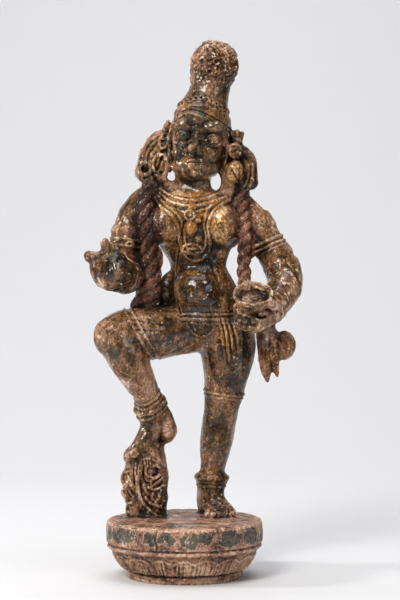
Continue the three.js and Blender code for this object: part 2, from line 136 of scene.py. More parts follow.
def blurred(values, edges, passes, hold=None):
    """Values on the vertices, averaged with their neighbours this many times, less where hold is low."""
    a, b = edges[:, 0], edges[:, 1]
    count = len(values)
    near = np.bincount(a, minlength=count) + np.bincount(b, minlength=count)
    near = np.maximum(near, 1)
    values = values.copy()
    for _ in range(passes):
        for axis in range(values.shape[1]):
            column = values[:, axis]
            total = np.bincount(a, column[b], count) + np.bincount(b, column[a], count)
            step = PULL * (total / near - column)
            values[:, axis] = column + (step if hold is None else step * hold)
    return values


def blend(value, low, high):
    """0 up to low, 1 from high on, and smooth between them."""
    t = np.clip((value - low) / (high - low), 0, 1)
    return t * t * (3 - 2 * t)


def within(points, centre, radii, soft=0.35):
    """1 inside an ellipsoid, falling to 0 over its outer part."""
    reach = np.sqrt((((points - centre) / radii) ** 2).sum(1))
    return 1 - blend(reach, 1 - soft, 1 + soft)


def most(points, places):
    """At each point the strongest of these ellipsoids of centre, radii and strength."""
    value = np.zeros(len(points))
    for centre, radii, share in places:
        value = np.maximum(value, share * within(points, centre, radii))
    return value


def bell(value, middle, width):
    """1 at the middle, falling off on both sides."""
    return np.exp(-(((value - middle) / width) ** 2))


def furrows(phase):
    """Round ridges with sharp furrows between them, one for each whole number of phase."""
    return np.abs(np.sin(math.pi * phase)) - 0.6


def joined(piece, *others):
    """Join these meshes to the first."""
    choose(piece, *others)
    bpy.ops.object.join()
    return piece


# ---------------------------------------------------------------- paths and raised work


def curve_through(points, step=1.5):
    """Points every step mm along a smooth line through these points."""
    points = np.asarray(points, float)
    points = np.vstack([2 * points[0] - points[1], points, 2 * points[-1] - points[-2]])
    out = []
    for p0, p1, p2, p3 in zip(points, points[1:], points[2:], points[3:]):
        count = max(2, int(np.linalg.norm(p2 - p1) / step))
        for t in np.arange(count) / count:
            place = 2 * p1 + (p2 - p0) * t + (2 * p0 - 5 * p1 + 4 * p2 - p3) * t**2
            out.append(0.5 * (place + (3 * p1 - p0 - 3 * p2 + p3) * t**3))
    out.append(points[-2])
    return np.array(out)


def eased(path, passes, ring=False):
    """A path whose points are drawn towards their neighbours; only a ring has no fixed ends."""
    for _ in range(passes):
        if ring:
            path = 0.25 * np.roll(path, 1, 0) + 0.5 * path + 0.25 * np.roll(path, -1, 0)
        else:
            path[1:-1] = 0.25 * path[:-2] + 0.5 * path[1:-1] + 0.25 * path[2:]
    return path


def oval(centre, wide, tall, lean=0.0, count=20, start=0.0, sweep=360.0):
    """Places on an oval in the picture plane, in mm."""
    turn = np.radians(start + sweep * np.arange(count) / (count if sweep == 360 else count - 1))
    x, z = wide * np.cos(turn), tall * np.sin(turn)
    lean = math.radians(lean)
    return np.stack(
        [
            centre[0] + x * math.cos(lean) - z * math.sin(lean),
            centre[1] + x * math.sin(lean) + z * math.cos(lean),
        ],
        1,
    )


def twisted(stations, step=1.0):
    """A path through stations of x, y, z and girth, with its length so far and its two sides."""
    path = curve_through(stations, step)
    way = np.gradient(path[:, :3], axis=0)
    way /= np.linalg.norm(way, axis=1, keepdims=True)
    along = np.concatenate([[0], np.cumsum(np.linalg.norm(np.diff(path[:, :3], axis=0), axis=1))])
    side = np.cross(way, (0, 1, 0))
    side /= np.linalg.norm(side, axis=1, keepdims=True)
    return path[:, :3], path[:, 3], along, side, np.cross(way, side)


class Skin:
    """The surface of a roughed-out form, on which raised work is laid."""

    LEAP = 9.0  # mm of depth between two points of a line: more means that it fell off an edge
    LOOSE = 1.5  # mm off the surface: a point farther away is set back on it

    def __init__(self, piece):
        mesh = piece.data
        self.tree = BVHTree.FromPolygons(
            [v.co[:] for v in mesh.vertices], [p.vertices[:] for p in mesh.polygons]
        )

    def seen(self, x, z, lift=0.0):
        """The place on the surface that the camera sees at x, z of the plane y = 0."""
        aim = Vector((x * MM, 0, z * MM)) - CAMERA_PLACE
        place, normal, _, _ = self.tree.ray_cast(CAMERA_PLACE, aim.normalized())
        if place is None:
            place, normal, _, _ = self.tree.find_nearest(Vector((x * MM, 0, z * MM)))
        return np.array(place + normal * lift * MM) / MM

    def line(self, places, lift=0.0, smooth=2):
        """A line laid on the surface as the camera sees it, without leaps to what lies behind."""
        path = np.array([self.seen(x, z, lift) for x, z in places])
        for i in range(1, len(path)):
            if abs(path[i, 1] - path[i - 1, 1]) > self.LEAP:
                path[i, 1] = path[i - 1, 1]
        path = eased(path, smooth)
        for i, place in enumerate(path):
            near, normal, _, distance = self.tree.find_nearest(Vector(place) * MM)
            if distance > (abs(lift) + self.LOOSE) * MM:
                path[i] = np.array(near + normal * lift * MM) / MM
        return eased(path, 1)

    def hoop(self, centre, axis, lift=0.0, count=40, reach=60.0):
        """A ring laid round a limb, in the plane through a point inside it."""
        axis = Vector(axis).normalized()
        side = axis.orthogonal().normalized()
        up = axis.cross(side)
        middle = Vector(centre) * MM
        path = []
        for i in range(count):
            turn = math.radians(360 * i / count)
            way = side * math.cos(turn) + up * math.sin(turn)
            place = self.tree.ray_cast(middle, way, reach * MM)[0]
            if place is None:
                place = Vector(path[-1]) * MM if path else middle + way * 5 * MM
            path.append(np.array(place + way * lift * MM) / MM)
        return eased(np.array(path), 2, ring=True)


def leaning(degrees):
    """A turn in the picture plane, for a bead that leans."""
    return Matrix.Rotation(math.radians(degrees), 3, "Y")


class RaisedWork:
    """Cords, beads and knobs that are gathered here and then carved as one with the form."""

    def __init__(self):
        self.cords = []
        self.beads = []

    def cord(self, path, radius, closed=False, taper=0.0):
        """A round cord along a path in mm; taper is the share that its ends lose."""
        self.cords.append((path, radius, closed, taper))

    def limb(self, stations, step=1.5, caps=True):
        """A smooth tapering limb through stations of x, y, z and radius."""
        path = curve_through(stations, step)
        self.cords.append((path[:, :3], path[:, 3], False, 0.0))
        if caps:
            for end in (path[0], path[-1]):
                self.bead(end[:3], end[3])

    def bead(self, place, radii, turn=None):
        """A ball, or an ellipsoid of three radii in mm, turned by a matrix."""
        radii = (radii,) * 3 if np.isscalar(radii) else radii
        matrix = Matrix.Translation(Vector(place) * MM)
        if turn is not None:
            matrix = matrix @ turn.to_4x4()
        self.beads.append(matrix @ Matrix.Diagonal((*[r * MM for r in radii], 1)))

    def made(self, name):
        """The gathered work as one mesh."""
        curve = bpy.data.curves.new(name, "CURVE")
        curve.dimensions = "3D"
        curve.bevel_depth = MM
        curve.bevel_resolution = 3
        curve.use_fill_caps = True
        for path, radius, closed, taper in self.cords:
            spline = curve.splines.new("POLY")
            spline.points.add(len(path) - 1)
            spline.points.foreach_set("co", np.hstack([path * MM, np.ones((len(path), 1))]).ravel())
            t = np.linspace(0, 1, len(path))
            girth = radius * (1 - taper * np.abs(2 * t - 1) ** 2) * np.ones(len(path))
            spline.points.foreach_set("radius", girth)
            spline.use_cyclic_u = closed
        cords = bpy.data.objects.new(name, curve)
        bpy.context.scene.collection.objects.link(cords)
        choose(cords)
        bpy.ops.object.convert(target="MESH")
        made = bpy.context.view_layer.objects.active
        if self.beads:
            bpy.ops.mesh.primitive_ico_sphere_add(subdivisions=3, radius=1)
            ball = bpy.context.object
            corners = np.array([v.co[:] for v in ball.data.vertices])
            faces = np.array([p.vertices[:] for p in ball.data.polygons])
            bpy.data.objects.remove(ball)
            places, sides = [], []
            for i, matrix in enumerate(self.beads):
                m = np.array(matrix)
                places.append(corners @ m[:3, :3].T + m[:3, 3])
                sides.append(faces + i * len(corners))
            mesh = bpy.data.meshes.new(name + "_beads")
            mesh.from_pydata(np.vstack(places).tolist(), [], np.vstack(sides).tolist())
            beads = bpy.data.objects.new(name + "_beads", mesh)
            bpy.context.scene.collection.objects.link(beads)
            made = joined(made, beads)
        return made


class Carving:
    """Fine relief that is pressed into or raised from a piece along its normals."""

    def __init__(self, piece):
        self.piece = piece
        self.points = points_of(piece)
        self.edges = edges_of(piece)
        self.normals = normals_of(piece)
        length = np.linalg.norm(self.normals, axis=1, keepdims=True)
        self.normals = blurred(self.normals / np.maximum(length, 1e-9), self.edges, 2)
        self.rise = np.zeros(len(self.points))

    def reach(self, path, width):
        """Indices and distances of the vertices near a path."""
        low, high = path.min(0) - width, path.max(0) + width
        near = np.flatnonzero(((self.points > low) & (self.points < high)).all(1))
        best = np.full(len(near), np.inf)
        place = self.points[near]
        for a, b in zip(path, path[1:]):
            step = b - a
            t = np.clip((place - a) @ step / max(step @ step, 1e-9), 0, 1)
            best = np.minimum(best, np.linalg.norm(place - a - t[:, None] * step, axis=1))
        keep = best < width
        return near[keep], best[keep]

    def line(self, path, width, rise):
        """A ridge, or a groove where rise is below 0."""
        near, distance = self.reach(path, width)
        self.rise[near] += rise * blend(1 - distance / width, 0, 1)

    def spot(self, place, radii, rise, ring=0.0):
        """A swelling, or a ring-shaped curl whose eye is as deep as ring says."""
        radii = np.asarray(radii, float) * np.ones(3)
        near = np.flatnonzero((np.abs(self.points - place) < radii).all(1))
        out = np.sqrt((((self.points[near] - place) / radii) ** 2).sum(1))
        shape = blend(1 - out, 0, 1)
        if ring:
            shape = (bell(out, 0.55, 0.22) - ring * bell(out, 0, 0.28)) * (out < 1)
        self.rise[near] += rise * shape

    def thin(self, path, girth, rise):
        """The same rise all over a limb that is this thick round its path."""
        near, distance = self.reach(path, girth + 3)
        self.rise[near] += rise * (1 - blend(distance, girth, girth + 3))

    def strands(self, stations, pitch, strands, rise):
        """Hair lines that run with the strands of a braid."""
        path, girth, along, side, front = twisted(stations)
        low, high = path.min(0) - BRAID_ROOM, path.max(0) + BRAID_ROOM
        near = np.flatnonzero(((self.points > low) & (self.points < high)).all(1))
        place = self.points[near]
        best, at = np.full(len(near), 1e9), np.zeros(len(near), int)
        for i, middle in enumerate(path):
            distance = ((place - middle) ** 2).sum(1)
            better = distance < best
            best[better], at[better] = distance[better], i
        offset = place - path[at]
        turn = np.arctan2((offset * front[at]).sum(1), (offset * side[at]).sum(1)) / (2 * math.pi)
        mask = 1 - blend(np.sqrt(best) - girth[at], 1.0, 3.0)
        phase = BRAID_HAIRS * strands * (turn - along[at] / pitch)
        self.rise[near] += mask * rise * furrows(phase)

    def wave(self, mask, phase, rise):
        """Even furrows where the mask says so: phase counts them."""
        self.rise += mask * rise * furrows(phase)

    def carve(self):
        """Move the piece's vertices by the rise gathered so far."""
        self.points = self.points + self.normals * self.rise[:, None]
        self.rise[:] = 0
        move_points(self.piece, self.points)


def rough_form(name, low, voxel, fine, forms):
    """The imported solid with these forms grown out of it, its facets rounded off in all but the fine places."""
    piece = solid_above(name, low)
    joined(piece, forms.made("grown_forms"))
    finish_with(piece, "REMESH", mode="VOXEL", voxel_size=voxel * MM)
    points, edges = points_of(piece), edges_of(piece)
    hold = np.ones(len(points))
    for centre, radii, share in fine:
        hold = np.minimum(hold, 1 - (1 - share) * within(points, centre, radii))
    hold *= blend(points[:, 2], low + 0.5, low + 5)
    points = blurred(points, edges, ROUGH_PASSES, hold)
    points = blurred(points, edges, 2)
    move_points(piece, points)
    carving = Carving(piece)
    carving.rise += SWELL * hold
    for places, girth, rise in THIN_PLACES:
        carving.thin(curve_through(places), girth, rise)
    carving.carve()
    return piece


def grain_displace(piece, size, strength, depth=2, places="", folded=False):
    """Out-and-in unevenness of tool marks and old paint, or the folded relief of hair; lengths in mm."""
    texture = bpy.data.textures.new(f"{piece.name}_clouds", "CLOUDS")
    texture.noise_scale = size * MM
    texture.noise_depth = depth
    texture.noise_type = "HARD_NOISE" if folded else "SOFT_NOISE"
    finish_with(
        piece,
        "DISPLACE",
        texture=texture,
        texture_coords="LOCAL",
        strength=strength * MM,
        mid_level=0.5,
        vertex_group=places,
    )


def mark_places(piece, name, places):
    """A vertex group that holds these ellipsoids."""
    group = piece.vertex_groups.new(name=name)
    share = np.round(most(points_of(piece), places) * GROUP_LEVELS).astype(int)
    for level in range(1, GROUP_LEVELS + 1):
        group.add(np.flatnonzero(share == level).tolist(), level / GROUP_LEVELS, "REPLACE")


def set_field(piece, name, values):
    """A value from 0 to 1 at each vertex, which the paint reads by its name."""
    field = piece.data.attributes.new(name, "FLOAT", "POINT")
    field.data.foreach_set("value", np.clip(values, 0, 1).astype(np.float32))


def hollows_and_ridges(piece, strength=1.0):
    """Fields that say how deep a place lies, and how far it stands out."""
    points, edges, normals = points_of(piece), edges_of(piece), normals_of(piece)
    near = ((blurred(points, edges, CLOSE_PASSES) - points) * normals).sum(1)
    wide = ((blurred(points, edges, WIDE_PASSES) - points) * normals).sum(1)
    hollow = blend(near, 0.02, 0.30) * 0.6 + blend(wide, 0.15, 1.9) * 0.75
    set_field(piece, "hollow", strength * hollow)
    set_field(piece, "ridge", blend(-near, 0.04, 0.30) * 0.7 + blend(-wide, 0.5, 2.0) * 0.25)


# ---------------------------------------------------------------- the figure's raised work

# Lines of x and z in mm on the plane y = 0, as the camera sees them; a Skin lays them on the surface.
COLLAR = (
    [(-23.6, 425.0), (-11.5, 418.4), (6.1, 415.1), (23.7, 417.3), (36.9, 422.8)],
    [(-26.9, 422.8), (-14.8, 412.9), (6.1, 408.5), (25.9, 411.8), (42.4, 418.4)],
    [(-30.2, 420.6), (-19.2, 408.5), (-4.9, 403.0), (6.1, 401.9), (20, 404), (34, 411), (47, 417)],
)
FACE_RIM = (
    [(-10.4, 503.2), (-13.5, 499.5), (-15.9, 484.9), (-16.6, 470.2), (-15.5, 457.4), (-10.8, 446.4)],
    [(46.8, 494.0), (48.3, 481.2), (46.8, 466.5), (44.6, 455.5), (39.1, 444.5)],
)

CHAIN_OUT = [(-33.4, 418.4), (-25.8, 407.4), (-14.8, 398.6), (-7.1, 385.4), (-4.9, 369.0), (-0.5, 355.8),
             (9.4, 348.1), (20.4, 350.3), (27.0, 360.2), (28.1, 373.4), (25.9, 386.5), (30.3, 399.7),
             (39.1, 408.5), (51.2, 416.2)]
CHAIN_IN = [(-29.1, 419.5), (-20.3, 408.5), (-9.3, 400.8), (-1.6, 387.6), (0.6, 370.1), (5.0, 359.1),
            (11.6, 354.7), (18.2, 356.9), (22.6, 364.6), (23.7, 375.6), (21.5, 388.7), (24.8, 403.0),
            (33.6, 412.9), (45.7, 419.5)]
FOREHEAD_BAND = [(-11.4, 501.0), (-4.0, 507.8), (4.3, 510.0), (13.4, 508.3), (20.8, 505.0), (32, 500.5), (44, 494.5)]
RING_BEADS = [(-7.0, 516.0), (-2.2, 520.6), (1.8, 523.3), (7.0, 525.2), (12.5, 526.6), (18.5, 527.1),
              (24.5, 525.2), (30.0, 523.3), (35.0, 520.8), (39.4, 517.2), (43.2, 512.3), (46.4, 506.8)]
HEADDRESS_AXIS = (0.17, 0.33, 1)
TOPKNOT_CURLS = ((18.5, 567, 6.5), (33.5, 578, 7.0), (49, 577, 6.5), (35, 567, 5.5), (24, 583, 5.0),
                 (47, 560, 6.0), (28, 556, 6.0))  # x, z and size in mm

MOUTH = [(3.0, 456.8), (7.0, 458.2), (11.6, 457.4), (16.0, 458.2), (20.4, 457.0)]
CRACK = [(-0.5, 390.9), (-3.8, 375.6), (-6.0, 360.2), (-8.2, 347.0), (-9.3, 331.6), (-10.4, 316.2), (-8.2, 303.0),
         (-3.8, 289.7)]
BELLY_FOLD = [(-9.3, 305.2), (3.9, 298.6), (22.6, 297.5), (41.3, 304.1)]
SASHES = (
    [(36.9, 284.2), (41.3, 266.6), (42.8, 250.1), (45.0, 236.4)],
    [(42.4, 284.2), (46.8, 266.6), (47.9, 250.1), (49.6, 233.4)],
    [(47.9, 283.1), (51.2, 267.7), (53.4, 252.9), (55.0, 240.6)],
    [(53.4, 281.1), (56.7, 268.8), (59.3, 256.1), (61.1, 246.8)],
)
APRON = (
    [(1.7, 280.9), (8.3, 269.9), (19.3, 264.4), (30.3, 269.9), (35.8, 280.9)],
    [(7.2, 280.9), (12.7, 273.2), (19.3, 269.9), (25.9, 274.3), (30.3, 280.9)],
)
THIGH_FOLDS = (
    [(-13.7, 280.9), (-26.9, 283.1), (-43.4, 285.3), (-57.7, 287.5)],
    [(-7.1, 274.3), (-22.5, 275.4), (-37.9, 276.5), (-50.1, 276.5)],
    [(-0.5, 267.7), (-15.9, 265.5), (-31.3, 264.4), (-42.4, 263.3)],
    [(6.1, 261.1), (-7.1, 254.5), (-21.4, 250.1), (-33.6, 249.0)],
)

# Places that are smoothed less: centre, radii and the share of the smoothing that is left.
FINE_PLACES = [
    ((-81, -31, 345), (34, 30, 36), 0.06),
    ((80, -36, 312), (34, 34, 26), 0.05),
    ((-44, 0, 142), (30, 28, 12), 0.08),
    ((34, 22, 70), (30, 26, 14), 0.08),
    ((-30, 4, 166), (34, 36, 34), 0.2),
    ((15, 10, 380), (60, 34, 70), 0.5),
    ((96, 8, 246), (24, 18, 60), 0.08),
    ((-34, 26, 460), (30, 26, 46), 0.22),
    ((64, 18, 455), (24, 24, 50), 0.22),
    ((17, 0, 465), (46, 40, 36), 0.12),
    ((-46, 14, 110), (30, 24, 60), 0.3),
    ((-17, 24, 317), (22, 18, 30), 0.4),
]

# Stations of x, y, z and girth in mm, the length of one full twist, and the count of strands.
BRAIDS = (
    ([(-33, 12, 437, 6.5), (-39, 13, 432, 7.5), (-43, 6, 410, 8.5), (-42, 3, 384, 9.0), (-39, 5, 358, 9.5),
      (-37, 8, 334, 11), (-39, 12, 314, 13.5), (-43, 15, 296, 15.5)], 46.0, 3),
    ([(62, 20, 426, 7.0), (65, 14, 402, 7.6), (66, 4, 380, 7.4), (65.5, -2, 358, 7.2), (65.4, -8, 338, 7.6),
      (66, -14, 322, 7.2)], 27.0, 2),
)

# Limbs that are made slimmer or fuller: a path through each, its girth and the rise in mm.
THIN_PLACES = (
    ([(64, 16, 410), (66, 4, 380), (65.5, -2, 358), (66, -8, 338)], 8.0, -1.4),
    ([(-42, 6, 405), (-42, 4, 384), (-39, 6, 358), (-36, 10, 334)], 10.0, -1.2),
    ([(-9, 16, 511), (-4, 16, 521), (2, 18, 532)], 14.0, -2.4),
    ([(70, 27, 421), (76, 27, 415), (82, 27, 408)], 8.0, -3.2),
    ([(90, 26, 404), (98, 25, 394)], 8.0, 1.0),
    ([(104, 22, 382), (112, 22, 371), (118, 20, 360)], 8.0, -1.4),
    ([(129, 10, 338), (129, 8, 318)], 9.0, 1.2),
    ([(-46, 22, 430), (-62, 22, 414), (-73, 20, 392)], 10.0, -1.4),
    ([(-102, -31, 332), (-96, -31, 318)], 9.0, -1.3),
    ([(-56, -2, 198), (-54, -2, 188)], 8.0, -2.4),
    ([(-24, 6, 222), (-17, 8, 206), (-12, 10, 192)], 7.0, -1.2),
    ([(43, 22, 98), (46, 14, 88), (53, 6, 78)], 9.0, -1.6),
    ([(8, 20, 566), (9, 20, 546)], 7.0, 1.0),
)


def grow_forms(work):
    """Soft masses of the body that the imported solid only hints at."""
    for x, z in ((-20.5, 389), (41.5, 388)):  # the chest
        work.bead((x, 7.6, z), (20.3, 18.2, 23.0))
    for place, radii in (
        ((13, 9, 453), (27, 24, 17)), ((-17, 20, 461), (6, 8, 17)), ((47, 20, 452), (6, 8, 14)),
        ((-45, 20, 447), (11, 12, 14)), ((64, 26, 449), (17.5, 14, 27)), ((68, 24, 436), (14.5, 12, 13)),
        ((-6.4, 15, 442), (5.2, 7, 6)), ((-23.6, 12, 440.5), (5, 6, 5)), ((14, 9, 316), (29, 25, 24)),
        ((50, 20, 372), (12, 12, 10)), ((86, 20, 362), (10, 10, 14)), ((72, 10, 360), (8, 8, 12)),
        ((-50, 16, 298), (12, 10, 10)), ((-79, -22, 264), (20.8, 19, 21)), ((-28, 4, 266), (26, 24, 27)),
        ((110.5, 14, 254.5), (13.8, 11.5, 16.8)), ((-31, 8, 350), (8.5, 8, 16)), ((-19.5, 18, 434), (6, 6, 5)),
        ((55.6, 15, 469), (7.6, 13, 9.4)), ((-73, -39, 334), (17, 14, 15)), ((-63, -33, 335), (10, 18, 14)),
    ):
        work.bead(place, radii)
    for stations in (
        # the neck's left side
        [(44, 18, 455, 8.5), (47.2, 17, 443, 8.6), (48.6, 18, 432, 8.8), (44, 18, 419, 9.8)],
        # the neck
        [(16, 17, 448, 13.0), (16.6, 17, 437, 12.4), (18, 18, 424, 13.5)],
        # the left flank
        [(38, 22, 378, 13), (38.4, 22, 364, 13.2), (36.4, 22, 350, 11.6)],
        # the left elbow
        [(104, 22, 350, 18.5), (110.5, 16, 332, 19.8), (110, 5, 318, 19)],
        # the left forearm
        [(104, -6, 306, 17), (97, -16, 296, 15), (90, -22, 288, 13)],
        # the raised thigh
        [(18, 30, 276, 26), (-8, 21, 271, 28.6), (-30, 6, 269, 29), (-58, -9, 270, 27.2), (-70, -15, 270, 24.6),
         (-79, -21, 267.4, 20.6)],
        # the standing leg
        [(47, 30, 282, 28.6), (48.3, 32, 250, 31.8), (45.3, 34, 212, 24), (41, 36, 183, 20), (35.5, 41, 146, 19),
         (31, 40, 112, 14), (30, 37, 90, 14.5)],
        # the scarf's tails
        [(92, 8, 262, 9), (90, 9, 240, 8.2), (90, 9, 228, 6.6), (92, 10, 215, 2.8)],
        [(97, 10, 250, 8), (98.6, 11, 236, 6.6), (101.4, 11, 227, 4.2), (103, 11, 220, 2.4)],
        # the standing heel
        [(27, 46, 92, 14), (27, 48, 76, 14.5)],
        # the raised ankle and foot
        [(-35, 8, 188, 14), (-26, 14, 173, 14), (-20.5, 18, 160, 12.8)],
        [(-34, 10, 172, 13), (-40, 8, 158, 12), (-47, 4, 147, 10), (-54, 0, 141, 7.5)],
        # the leaf's body
        [(-33, 22, 140, 10.5), (-31.5, 21, 122, 12.6), (-31, 21, 100, 12.8), (-31, 22, 80, 12.4), (-32, 23, 66, 12)],
        # stumps of the right hand's fingers
        [(-82, -35, 350, 6.6), (-84.4, -37, 361, 6.1), (-86, -38, 369.2, 5.6)],
        [(-90, -34, 349.5, 7.0), (-97, -35, 352.4, 7.0), (-103, -34, 353.2, 6.4)],
        # the raised toes
        [(-52, 4, 139, 6.4), (-59, 4, 135, 6.2), (-64, 5, 129, 4.6)],
        # a lobe of the leaf
        [(-61.5, 12, 101, 5.4), (-66, 12, 94, 4.6), (-62.5, 13, 86, 4)],
    ):
        work.limb(stations)
    work.bead((-105, -34, 354.0), (4.4, 6.2, 7.0))
    crown = [(18, 21, 503, 32.6), (19, 20.5, 511, 31.2), (20.6, 20, 516, 29.5), (22.3, 20, 521.5, 27.2),
             (24, 20, 528, 24.6), (26, 20, 534.4, 22.9), (27.8, 20, 541, 22.6), (29.5, 20, 548, 23.4)]
    work.limb(crown, 1.0, caps=False)


def lay_necklaces(skin, work):
    """Three collars, the double chain and its pendants."""
    for radius, places in zip((1.8, 2.0, 1.3), COLLAR):
        work.cord(skin.line(curve_through(places), 0.3), radius, taper=0.35)
    work.cord(skin.line(curve_through(CHAIN_OUT), 0.5), 2.0)
    work.cord(skin.line(curve_through(CHAIN_IN), 0.4), 1.5)
    work.cord(skin.line(oval((5.6, 398.6), 5.2, 5.2), 0.9), 1.6, closed=True)
    work.bead(skin.seen(5.6, 398.6), (2.2, 1.6, 2.2))
    work.bead(skin.seen(7.2, 384.3), (6.0, 3.6, 7.4))
    work.cord(skin.line(oval((7.2, 384.3), 6.4, 8.2), 0.6), 1.1, closed=True)
    work.cord(skin.line(oval((8.3, 361.3), 11.0, 5.6, -4), 0.7), 1.6, closed=True)
    work.bead(skin.seen(8.3, 361.3), (6.4, 2.4, 2.0))
    work.bead(skin.seen(14.6, 392.5), (4.6, 2.4, 3.2))
    work.bead(skin.seen(14.5, 373.0), (4.2, 2.2, 4.2))
    for (x, z), r in (((39.1, 386.5), 4.6), ((-26.9, 389.8), 4.0)):
        work.cord(skin.line(oval((x, z), r, r, count=16), 0.1), 1.0, closed=True)
        work.bead(skin.seen(x, z), (2.0, 1.8, 2.0))


def lay_limb_rings(skin, work):
    """Belts, the thigh hem, the knee band, anklets, armlets and wrist rings."""
    for height, radius in ((294.0, 1.4), (288.6, 2.3), (284.4, 1.3)):
        work.cord(skin.hoop((21, 30, height), (0.02, -0.14, 1), 0.4, count=60), radius, closed=True)
    for shift in (0, 6.6):
        centre = (-51.6 + shift * 0.87, -6, 270.2 + shift * 0.49)
        work.cord(skin.hoop(centre, (0.87, 0, 0.49), 0.4), 1.6, closed=True)
    for shift, radius in ((0, 1.5), (4.6, 1.1)):
        work.cord(skin.hoop((41, 37, 202 - shift), (0.12, -0.08, 1), 0.4), radius, closed=True)
    ankle = (-44.5, 1.5, 186)
    for along, radius, lift in ((7.5, 2.1, 0.1), (2.5, 3.2, -0.7), (-2.0, 3.3, -0.4), (-6.6, 2.0, 0.5)):
        centre = (ankle[0] - 0.5 * along, ankle[1] - 0.55 * along, ankle[2] + 0.95 * along)
        work.cord(skin.hoop(centre, (-0.4, -0.42, 0.84), lift), radius, closed=True)
    for height, radius, lift in ((109.6, 2.0, -0.8), (105.2, 4.2, 0.8), (100.4, 2.4, 1.0), (96.0, 1.4, 0.3)):
        work.cord(skin.hoop((30.5, 39.5, height), (0.05, 0.02, 1), lift), radius, closed=True)
    for along, radius in ((0, 1.5), (7.0, 1.3)):
        work.cord(skin.hoop((-64.4, 19, 370.5 - along), (0.16, 0.1, 1), 0.5), radius, closed=True)
    work.cord(skin.line(oval((-60.5, 366.4), 5.2, 2.2, 4), 0.5), 0.9, closed=True)
    for along, radius in ((0, 1.9), (5.2, 1.5), (9.4, 1.0)):
        work.cord(skin.hoop((93 + 0.5 * along, 25.5, 369 - along), (-0.42, 0.1, 0.9), 0.4), radius, closed=True)
    for along in (0, 5):
        work.cord(skin.hoop((-67.2, -15 - along, 335), (0.1, 1, 0.05), 0.4), 1.5, closed=True)
        centre = (99.5 - 0.6 * along, -14.5 - along, 299 - 0.7 * along)
        work.cord(skin.hoop(centre, (0.55, 0.7, 0.45), 0.2), 1.3, closed=True)


def lay_cloth(skin, work):
    """The sashes, the apron's hem, the folds of the short trousers and those of the scarf's ball."""
    for places, radius in zip(SASHES, (2.0, 2.6, 2.4, 1.8)):
        work.cord(skin.line(curve_through(places), -0.6), radius, taper=0.5)
    for places, radius in zip(APRON, (1.0, 0.8)):
        work.cord(skin.line(curve_through(places), 0.2), radius)
    for places in THIGH_FOLDS[:2]:
        work.cord(skin.line(curve_through(places), -0.8), 1.3, taper=0.7)
    for places, radius in (
        ([(105, 266), (111.5, 262), (115.5, 254), (113, 245)], 1.3),
        ([(101, 262), (106, 256), (108.5, 248), (106, 241)], 1.3),
    ):
        work.cord(skin.line(curve_through(places), -0.1), radius, taper=0.4)


def lay_eye(skin, work, brow, drop, ball, lean):
    """A staring eyeball with its lids and pupil, hung below a swollen brow."""
    (x, z, wide, tall), (dx, dz), (ew, eh) = brow, drop, ball
    work.bead(skin.seen(x, z, -3.2), (wide, 7.0, tall))
    middle = skin.seen(x + dx, z + dz, -2.8)
    work.bead(middle, (ew * 0.88, 6.6, eh * 0.94), leaning(-lean))
    for start, sweep, radius, out in ((12, 156, 1.1, 1.0), (184, 178, 1.6, 1.1)):
        lid = oval((x + dx, z + dz), ew * out, eh * 1.08 * out, lean, 16, start, sweep)
        rim = [middle + (px - x - dx, -1.9 + 0.045 * (px - x - dx) ** 2, pz - z - dz) for px, pz in lid]
        work.cord(np.array(rim), radius)
    work.bead(middle + np.array((-2.0, -5.9, 0.6)), (1.9, 1.2, 1.9))


def lay_face(skin, work):
    """Staring eyes under heavy brows, the nose, cheeks, lips, chin and the hood's rim round the face."""
    lay_eye(skin, work, (-1.0, 496.4, 12.2, 9.2), (-0.4, -11.8), (8.6, 6.3), 4)
    lay_eye(skin, work, (32.6, 493.0, 10.8, 7.2), (-0.6, -11.8), (7.4, 5.4), -12)
    for places, radius in ((FACE_RIM[0], 1.8), (FACE_RIM[1], 1.5), (FOREHEAD_BAND, 1.5)):
        work.cord(skin.line(curve_through(places), 0.2), radius, taper=0.3)
    work.cord(skin.line(curve_through([(8.6, 478.2), (12.6, 484.5), (15.4, 492.0)]), -0.6), 1.3)
    for x, z, lift, radii in (
        (8.4, 471.0, -2.6, (5.8, 6.4, 5.0)),
        (1.8, 469.4, -1.4, (4.0, 4.4, 3.7)),
        (15.0, 470.6, -1.4, (4.1, 4.4, 3.8)),
        (13.4, 443.6, -2.4, (8.2, 6.2, 5.6)),
        (-6.5, 466.0, -5.6, (11.0, 7.4, 11.0)),
        (30.0, 464.0, -5.8, (11.4, 7.4, 12.0)),
        (12, 453, -5.0, (12.0, 6.4, 8.6)),
    ):
        work.bead(skin.seen(x, z, lift), radii)
    lips = curve_through(MOUTH)
    under_eye = curve_through([(13.5, 489.6), (9.4, 482.0), (-1.8, 475.6), (-11.6, 478.2)])
    work.cord(skin.line(lips + (0, 1.5), 0.3), 1.4, taper=0.6)
    work.cord(skin.line(under_eye, 0.2), 1.5, taper=0.4)
    work.cord(skin.line(lips[3:-3] * (0.9, 1) + (1.2, -2.7), 0.3), 1.7, taper=0.6)
    for x, z in ((9.6, 445.6), (15.4, 445.8)):
        work.cord(skin.line(oval((x, z), 2.4, 2.4, count=12), 0.4), 0.7, closed=True)


